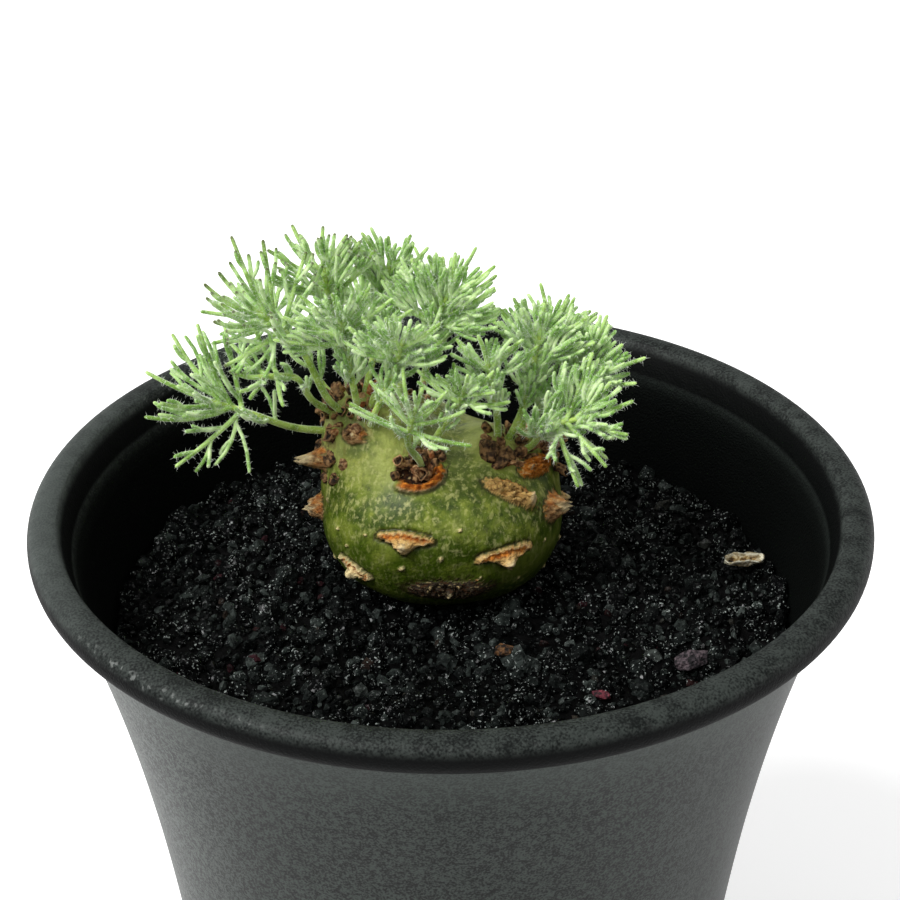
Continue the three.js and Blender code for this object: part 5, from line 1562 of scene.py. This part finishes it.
@dataclass
class Blade:
    """One leaf's fine blade: every ray as a curved axis with slender side lobes. Millimetres."""

    leaf: Leaf
    seed: int = 500
    # At each level of forking: the stalk's radius and how far its tip lifts
    radii: tuple = (0.3, 0.24, 0.22)
    lifts: tuple = (0.3, 0.26, 0.2)
    # At each level that still forks: where the first lobe stands and the room between lobes
    first_lobe: tuple = (1.0, 1.1)
    spacing: tuple = (1.25, 1.35)
    last_lobe: float = 1.9
    least_lobe: float = 1.7
    uneven: tuple = (0.85, 1.15)
    lobe_share: tuple = (0.68, 1.0)
    sparseness: float = 1.6
    fullness_gain: float = 0.78
    thinning: float = 0.15
    lush_from: tuple = (-0.3, 0.1)
    bare_chance: float = 0.55
    # The chance of a second lobe at each level, and of a third one on a ray
    second_chance: tuple = (0.8, 0.35)
    third_chance: float = 0.5
    first_turn: float = 0.5
    more_turn: float = 0.6
    upturn: float = 0.28
    droop: float = -0.28
    curl: float = 0.52
    wave: float = 0.15
    leans: tuple = (0.6, 1.15)
    flatness: float = 0.85
    overlap: float = 0.12
    tip_radius: float = 0.21
    # The blunt end: how far before the tip its points lie, and how thin the last two are
    end_backs: tuple = (0.3, 0.1, 0.0)
    end_radii: tuple = (0.86, 0.42)
    axis_points: int = 6
    # The tint of a ray and what each level of forking adds to it
    tints: tuple = (0.35, 0.3)
    # The collar of short branches round the hub, in a sparse and in a full blade
    collar_from: float = 0.36
    collar_reach: tuple = (0.8, 0.58)
    collar_count: tuple = (4, 18)
    collar_lean: float = 0.55
    collar_share: tuple = (0.6, 1.0)

    def __post_init__(self) -> None:
        """Starts the blade's own row of random numbers."""
        self.random = SeededRandom(self.seed + self.leaf.index)

    def grow(self) -> None:
        """Turns every ray into a curved axis with side lobes, which gives the blade its many ends."""
        for root, direction, length in self.leaf.rays:
            lush = self.leaf.row.fullness * float(smooth(*self.lush_from, direction[2]))
            self.branch(root - direction * self.overlap, direction, length, 0, lush)
        self.grow_collar()

    def grow_collar(self) -> None:
        """Adds short branches round the petiole's upper part and the hub, more of them in a full blade."""
        curve = self.leaf.petiole()
        full = self.leaf.row.fullness
        count = max(2, round(self.collar_count[0] * (1 - full) + self.collar_count[1] * full))
        reach = self.leaf.row.reach * (self.collar_reach[0] * (1 - full) + self.collar_reach[1] * full)
        for i in range(count):
            foot, tangent = curve(self.collar_from + (1 - self.collar_from) * (i + self.random()) / count)
            side = unit(np.cross(tangent, self.leaf.face))
            top = np.cross(side, tangent)
            angle = GOLDEN_ANGLE * i
            away = side * math.cos(angle) + top * math.sin(angle)
            direction = unit(tangent * self.collar_lean + away + vec(0, 0, self.upturn))
            self.branch(foot, direction, reach * self.random.between(*self.collar_share), 1, full, tangent)

    def branch(self, foot: Point, direction: Point, reach: float, level: int, lush: float,
               parent: Point | None = None) -> None:
        """Adds one curved stalk and the side lobes that leave it in turn, each shorter than the last.

        Args:
            foot: where the stalk starts.
            direction: where it points.
            reach: how long it is.
            level: how many forks lie before it.
            lush: how densely it branches, from 0 to 1.
            parent: the direction of the stalk that it leaves, which it curls back to.
        """
        if level > 0 and not self.leaf.canopy.clear_of_stem(foot, foot + direction * reach, 0):
            return
        bend = vec(*(self.random.between(-self.wave, self.wave) for _ in range(3)))
        if direction[2] > self.droop:
            bend[2] += self.lifts[level] * (1 - abs(direction[2]))
        if parent is not None:
            bend += (parent - direction) * self.curl
        self.add_stalk(foot, direction, bend, reach, level, lush)
        if level >= len(self.first_lobe):
            return
        at = self.first_lobe[level] * self.random.between(*self.uneven)
        turn = self.random.between(0, math.pi)
        while reach - at > self.last_lobe:
            share = at / reach
            onward = unit(direction + bend * (2 * share))
            root = foot + (direction + bend * share) * at
            for angle in self.lobe_turns(turn, level, lush):
                self.lobe(root, onward, angle, reach - at, level, lush)
            turn += math.pi
            spacing = self.spacing[level] * (self.sparseness - self.fullness_gain * lush)
            at += spacing * self.random.between(*self.uneven)

    def add_stalk(self, foot: Point, direction: Point, bend: Point, reach: float, level: int,
                  lush: float) -> None:
        """Adds one stalk as a bent line that thins towards a blunt tip."""
        blunt = [1 - back / reach for back in self.end_backs]
        shares = [*np.linspace(0, blunt[0], self.axis_points - level), *blunt[1:]]
        wide = self.radii[level] * (1 + self.thinning * min(lush, 0))
        radii = [wide + (self.tip_radius - wide) * share for share in shares[:-2]]
        radii += [self.tip_radius * narrow for narrow in self.end_radii]
        points = [foot + (direction + bend * share) * (reach * share) for share in shares]
        tint, deeper = self.tints
        self.leaf.stalks.append(Stalk(tuple(points), tuple(radii), tint + deeper * level))

    def lobe_turns(self, turn: float, level: int, lush: float) -> list[float]:
        """Returns the angles round the stalk at which lobes leave one place: more in a full blade."""
        if lush < 0 and self.random() < -self.bare_chance * lush:
            return []
        turns = [turn + self.random.between(-self.first_turn, self.first_turn)]
        if self.random() < lush * self.second_chance[level]:
            turns.append(turn + math.pi + self.random.between(-self.more_turn, self.more_turn))
        if level == 0 and self.random() < lush * self.third_chance:
            turns.append(turn + math.pi / 2 + self.random.between(-self.more_turn, self.more_turn))
        return turns

    def lobe(self, root: Point, onward: Point, angle: float, rest: float, level: int,
             lush: float) -> None:
        """Grows one side lobe, leaning away from its stalk by an angle round it."""
        side = unit(np.cross(onward, self.leaf.face))
        top = np.cross(side, onward)
        away = side * math.cos(angle) + top * (math.sin(angle) * self.flatness)
        reach = rest * self.random.between(*self.lobe_share)
        if reach > self.least_lobe:
            leaning = onward + away * self.random.between(*self.leans)
            if onward[2] > self.droop:
                leaning[2] += self.upturn
            self.branch(root - onward * self.overlap, unit(leaning), reach, level + 1, lush, onward)


@dataclass(frozen=True)
class LeafGreen:
    """Soft grey-green leaf tissue under a felt of fine white hairs."""

    def material(self) -> bpy.types.Material:
        """Builds the finish."""
        shader = Shader("leaf_green", 0.6, Specular_IOR_Level=0.2, Sheen_Weight=1.0, Sheen_Roughness=0.3,
                        Sheen_Tint=srgb(240, 250, 226), Subsurface_Weight=0.15,
                        Subsurface_Radius=(0.35 * MM, 0.6 * MM, 0.2 * MM), Subsurface_Scale=1.0)
        tint = shader.attribute("tint")
        patch = shader.noise(1.8, 4.0)
        green = shader.ramp(tint, (0.0, srgb(186, 214, 104)), (0.35, srgb(186, 222, 128)),
                            (0.65, srgb(200, 234, 154)), (0.95, srgb(220, 246, 182)))
        deep = shader.ramp(tint, (0.0, srgb(138, 170, 62)), (0.5, srgb(122, 166, 72)),
                           (0.95, srgb(138, 182, 90)))
        felt = shader.step(shader.noise(0.16, 2.0), 0.52, 0.70)
        dry = shader.step(shader.attribute("dry"), 0.3, 0.75)
        colour = shader.layers(
            deep,
            (shader.step(patch, 0.4, 0.6), green),
            (felt * 0.55, srgb(236, 246, 224)),
            (dry * 0.85, srgb(84, 82, 56)),
        )
        return shader.finish(colour, None, shader.noise(0.22, 3.0), 0.12)


@dataclass(frozen=True)
class WhiteHair:
    """Fine translucent white hairs."""

    def material(self) -> bpy.types.Material:
        """Builds the finish."""
        shader = Shader("white_hair", 0.5, Specular_IOR_Level=0.5)
        colour = shader.mix(shader.noise(3.0, 2.0), srgb(232, 242, 224), srgb(252, 255, 248))
        return shader.finish(colour)


@dataclass
class Foliage:
    """All the leaves with their hairs. Millimetres."""

    section_sides: int = 6
    hair_length: float = 0.48
    hair_radius: float = 0.021
    hairs_per_square_mm: float = 7.5
    hair_tilt: float = 0.6
    hair_sizes: tuple = (0.35, 1.25)
    hair_thinning: tuple = (2.6, 0.12)
    hair_seed: int = 40

    def stalk_lines(self, leaf: Leaf) -> bpy.types.Object:
        """Lays a leaf's stalks out as bare lines with their radius and tint."""
        points, edges, radii, tints, dryness = [], [], [], [], []
        for stalk in leaf.stalks:
            first = len(points)
            points.extend(stalk.points)
            radii.extend(stalk.radii)
            tints.extend([stalk.tint] * len(stalk.points))
            along = np.linspace(0, 1, len(stalk.points))
            dryness.extend(leaf.row.dryness * along**2 * (stalk.tint > 0))
            edges.extend((first + i, first + i + 1) for i in range(len(stalk.points) - 1))
        mesh = mesh_from(f"{leaf.row.name}_lines", np.array(points), [], edges=edges)
        add_attribute(mesh, "thickness", np.array(radii) * MM)
        add_attribute(mesh, "tint", np.array(tints))
        add_attribute(mesh, "dry", np.array(dryness))
        return show(mesh, f"{leaf.row.name}_lines")

    def tissue(self, leaf: Leaf, material: bpy.types.Material) -> bpy.types.Object:
        """Turns the lines into round stalks."""
        recipe = Recipe(f"{leaf.row.name}_stalks")
        sides = recipe.size("Section sides", self.section_sides, "NodeSocketInt")
        lines = recipe.node("GeometryNodeMeshToCurve", {}, {0: recipe.entry.outputs[0]})
        thickness = recipe.attribute("thickness")
        thick = recipe.node("GeometryNodeSetCurveRadius", {}, {
            "Curve": lines.outputs[0], "Radius": thickness,
        })
        section = recipe.node("GeometryNodeCurvePrimitiveCircle", {}, {"Resolution": sides, "Radius": 1.0})
        swept = recipe.node("GeometryNodeCurveToMesh", {}, {
            "Curve": thick.outputs[0], "Profile Curve": section.outputs[0], "Fill Caps": True,
        })
        if "Scale" in swept.inputs:
            recipe.set_socket(swept.inputs["Scale"], thickness)
        rounded = recipe.node("GeometryNodeSetShadeSmooth", {}, {0: swept.outputs[0]})
        recipe.end(rounded.outputs[0], material)
        return recipe.make(self.stalk_lines(leaf), f"{leaf.row.name}_blade")

    def hairs(self, blade: bpy.types.Object, name: str, seed: int,
              material: bpy.types.Material) -> bpy.types.Object:
        """Stands fine hairs on a blade."""
        recipe = Recipe(f"{name}_hairs")
        density = recipe.size("Hairs per square metre", self.hairs_per_square_mm / MM**2)
        length = recipe.size("Hair length", self.hair_length * MM)
        thick = recipe.size("Hair radius", self.hair_radius * MM)
        draw = recipe.size("Seed", seed, "NodeSocketInt")
        gain, on_petiole = self.hair_thinning
        share = recipe.node("ShaderNodeMath", {"operation": "MULTIPLY_ADD", "use_clamp": True}, {
            0: recipe.attribute("tint"), 1: gain, 2: on_petiole,
        })
        thinned = recipe.node("ShaderNodeMath", {"operation": "MULTIPLY"}, {0: share.outputs[0], 1: density})
        spots = recipe.node("GeometryNodeDistributePointsOnFaces", {}, {
            "Mesh": recipe.entry.outputs[0], "Density": thinned.outputs[0], "Seed": draw,
        })
        hair = recipe.node("GeometryNodeMeshCone", {}, {
            "Vertices": 3, "Radius Top": 0.0, "Radius Bottom": thick, "Depth": length,
        })
        scale = recipe.random(*self.hair_sizes, draw)
        placed = recipe.instances(spots, hair, spots.outputs["Rotation"], scale)
        tilt = self.hair_tilt
        lean = recipe.random((-tilt, -tilt, 0), (tilt, tilt, math.tau), draw)
        leaned = recipe.node("GeometryNodeRotateInstances", {}, {"Instances": placed, "Rotation": lean})
        recipe.end(leaned.outputs[0], material)
        return recipe.make(show(blade.data.copy(), f"{name}_hair_ground"), f"{name}_hairs")

    def build(self) -> None:
        """Grows and dresses every leaf."""
        canopy = Canopy()
        leaves = [Leaf(index, row, canopy) for index, row in enumerate(LEAVES)]
        green, white = LeafGreen().material(), WhiteHair().material()
        for leaf in leaves:
            leaf.grow_rays()
        for leaf in leaves:
            Blade(leaf).grow()
            blade = self.tissue(leaf, green)
            fine = self.hairs(blade, leaf.row.name, self.hair_seed + leaf.index, white)
            settle_piece(blade, None, [leaf.row.name])
            settle_piece(fine)


@dataclass(frozen=True)
class LooseStone:
    """A matt mineral lump, mottled from black through dark to light."""

    name: str
    dark: tuple
    light: tuple
    black: tuple = srgb(8, 8, 8)

    def material(self) -> bpy.types.Material:
        """Builds the finish."""
        shader = Shader(self.name, 0.7, Specular_IOR_Level=0.3)
        patch = shader.noise(0.45, 5.0)
        colour = shader.ramp(patch, (0.36, self.black), (0.48, self.dark), (0.64, self.light))
        return shader.finish(colour, None, patch, 0.3)


@dataclass
class LoosePiece:
    """A piece that lies on the soil and keeps the form of its solid, rounded and roughened."""

    node: str
    slot: Slot
    finish: LooseStone
    cuts: int = 3
    rough: float = 0.07
    grain: float = 0.8
    sink: float = 0.02

    def build(self) -> bpy.types.Object:
        """Builds and dresses the piece."""
        shape = bmesh.new()
        shape.from_mesh(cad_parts[self.node].data)
        bmesh.ops.remove_doubles(shape, verts=shape.verts, dist=1e-6)
        for _ in range(self.cuts):
            bmesh.ops.subdivide_edges(shape, edges=shape.edges[:], cuts=1, use_grid_fill=True, smooth=0.0)
        bmesh.ops.triangulate(shape, faces=shape.faces[:])
        bmesh.ops.recalc_face_normals(shape, faces=shape.faces[:])
        shape.normal_update()
        broad, fine = self.grain * MM, 0.3 * self.grain * MM
        for vertex in shape.verts:
            swell = noise.noise(vertex.co / broad) + 0.5 * noise.noise(vertex.co / fine)
            vertex.co += vertex.normal * (swell * self.rough - self.sink) * MM
        mesh = bpy.data.meshes.new(f"{self.node}_fine")
        shape.to_mesh(mesh)
        shape.free()
        piece = show(mesh, f"{self.node}_fine")
        return settle_piece(piece, self.finish.material(), [self.node])


@dataclass(frozen=True)
class PaleBark:
    """Pale, papery bark: a cream rim round a brown, crumpled hollow."""

    def material(self) -> bpy.types.Material:
        """Builds the finish."""
        shader = Shader("pale_bark", 0.75, Specular_IOR_Level=0.2)
        fold = shader.noise(0.5, 5.0, (1, 1, 1.6))
        hollow = shader.ramp(fold, (0.36, srgb(66, 44, 22)), (0.5, srgb(150, 122, 74)),
                             (0.64, srgb(216, 200, 158)))
        pale = shader.mix(shader.step(fold, 0.4, 0.6), srgb(164, 150, 118), srgb(226, 222, 200))
        return shader.finish(shader.mix(shader.attribute("lip"), hollow, pale), None, fold, 0.25)


@dataclass
class BarkFlake:
    """The curled bark flake: a shallow boat along the solid flake, lying on the grains. Millimetres."""

    node: str = "bark_flake"
    along_steps: int = 40
    across_steps: int = 20
    curl: float = 0.95
    ends: float = 0.35
    crumple: float = 0.3
    thickness: float = 0.28
    lift: float = 0.35
    narrowest: float = 0.12
    fold_scale: float = 1.1
    lip: tuple = (0.62, 0.9)

    def build(self) -> bpy.types.Object:
        """Builds and dresses the flake."""
        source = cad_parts[self.node].data
        solid = np.array([list(vertex.co) for vertex in source.vertices]) / MM
        middle = (solid.min(0) + solid.max(0)) / 2
        flat = (solid - middle)[:, :2]
        lengthways = np.append(np.linalg.svd(flat - flat.mean(0))[2][0], 0.0)
        sideways = np.cross([0, 0, 1], lengthways)
        half_length = np.abs((solid - middle) @ lengthways).max()
        half_width = np.abs((solid - middle) @ sideways).max()
        steps = (np.linspace(-1, 1, count) for count in (self.along_steps, self.across_steps))
        u, v = np.meshgrid(*steps, indexing="ij")
        width = half_width * (self.narrowest + (1 - self.narrowest) * np.sqrt(1 - np.abs(u) ** 3))
        top = middle + np.multiply.outer(u * half_length, lengthways) + np.multiply.outer(v * width, sideways)
        top[..., 2] += self.lift + self.curl * v**2 * (1 - 0.5 * u**2) + self.ends * u**2
        top = top.reshape(-1, 3)
        top += wobble(top, self.fold_scale) * self.crumple
        count = len(top)
        grid = np.arange(count).reshape(u.shape)
        upper = np.stack([grid[:-1, :-1], grid[1:, :-1], grid[1:, 1:], grid[:-1, 1:]], -1).reshape(-1, 4)
        border = np.concatenate([grid[:-1, 0], grid[-1, :-1], grid[:0:-1, -1], grid[0, :0:-1]])
        after = np.roll(border, -1)
        wall = np.stack([border, border + count, after + count, after], -1)
        faces = np.concatenate([upper, upper[:, ::-1] + count, wall])
        mesh = mesh_from("flake", np.concatenate([top, top - vec(0, 0, self.thickness)]), faces)
        lip = smooth(*self.lip, np.maximum(np.abs(u), np.abs(v)).ravel())
        add_attribute(mesh, "lip", np.concatenate([lip, lip]))
        piece = show(mesh, "bark_flake_fine")
        return settle_piece(piece, PaleBark().material(), [self.node])


@dataclass
class Studio:
    """The camera at the photograph's angle, a pale floor and soft light. Millimetres and degrees."""

    focal_pixels: float = 2200.0
    image_pixels: float = 900.0
    sensor: float = 36.0
    distance: float = 236.9
    elevation: float = 31.31
    rim_centre: float = 75.9
    rim_centre_pixel: tuple = (449.9, 507.8)
    roll: float = 0.48
    clip: tuple = (0.01, 10.0)
    floor_half: float = 3000.0
    sky_strength: float = 0.5
    key: tuple = ((-0.62, -0.32, 0.92), 2.9, 28)
    back: tuple = ((-0.55, 0.7, 0.8), 0.5, 40)

    def camera(self) -> None:
        """Places the camera where the rim's ellipses put it."""
        e = math.radians(self.elevation)
        height = self.rim_centre + self.distance * math.sin(e)
        position = Vector((0, -self.distance * math.cos(e), height)) * MM
        pan, tilt = (math.atan((pixel - self.image_pixels / 2) / self.focal_pixels)
                     for pixel in self.rim_centre_pixel)
        basis = (Matrix.Rotation(math.pi / 2 - e + tilt, 4, "X") @ Matrix.Rotation(pan, 4, "Y")
                 @ Matrix.Rotation(-math.radians(self.roll), 4, "Z"))
        data = bpy.data.cameras.new("camera")
        data.sensor_fit, data.sensor_width = "HORIZONTAL", self.sensor
        data.lens = self.focal_pixels / self.image_pixels * self.sensor
        data.clip_start, data.clip_end = self.clip
        camera = bpy.data.objects.new("camera", data)
        camera.matrix_world = Matrix.Translation(position) @ basis
        bpy.context.scene.collection.objects.link(camera)
        bpy.context.scene.camera = camera

    def floor(self) -> None:
        """Lays the pale floor."""
        half = self.floor_half
        corners = np.array([[-half, -half, 0], [half, -half, 0], [half, half, 0], [-half, half, 0]])
        floor = show(mesh_from("floor", corners, [(0, 1, 2, 3)]), "floor")
        shader = Shader("floor", 0.8, Specular_IOR_Level=0.1, Emission_Color=(1, 1, 1, 1),
                        Emission_Strength=0.42)
        colour = shader.mix(shader.noise(300, 2.0), (0.9, 0.9, 0.9, 1), (0.93, 0.93, 0.93, 1))
        floor.data.materials.append(shader.finish(colour))

    def sky(self) -> None:
        """Sets the even light from all round."""
        world = bpy.data.worlds.new("studio")
        bpy.context.scene.world = world
        world.use_nodes = True
        background = world.node_tree.nodes["Background"]
        background.inputs["Color"].default_value = (1, 1, 1, 1)
        background.inputs["Strength"].default_value = self.sky_strength

    def sun(self, name: str, source: Triple, strength: float, angle: float) -> None:
        """Adds one broad distant light.

        Args:
            name: the light's name.
            source: the direction that the light comes from.
            strength: its strength in watts per square metre.
            angle: its width in degrees, which softens the shadows.
        """
        data = bpy.data.lights.new(name, "SUN")
        data.energy, data.angle = strength, math.radians(angle)
        lamp = bpy.data.objects.new(name, data)
        lamp.rotation_euler = Vector(source).to_track_quat("Z", "Y").to_euler()
        bpy.context.scene.collection.objects.link(lamp)

    def build(self) -> None:
        """Sets up the whole studio."""
        bpy.context.scene.view_settings.view_transform = "Standard"
        self.camera()
        self.floor()
        self.sky()
        self.sun("key", *self.key)
        self.sun("back", *self.back)


def main() -> None:
    """Builds the studio and every piece in order."""
    logging.basicConfig(level=logging.INFO, format="%(name)s %(message)s")
    Studio().build()
    NurseryPot().build()
    Soil().build()
    Caudex().build()
    OldLeafBases().build()
    Foliage().build()
    purple = LooseStone("purple_lump", srgb(36, 30, 34), srgb(90, 78, 82))
    brown = LooseStone("brown_lump", srgb(52, 34, 20), srgb(108, 74, 40))
    red = LooseStone("red_chip", srgb(70, 26, 36), srgb(128, 54, 66))
    LoosePiece("lump_purple", Slot.PURPLE, purple, rough=0.22).build()
    LoosePiece("lump_brown", Slot.BROWN, brown, rough=0.2).build()
    LoosePiece("chip_red", Slot.RED, red).build()
    BarkFlake().build()


if __name__ == "__main__":
    main()
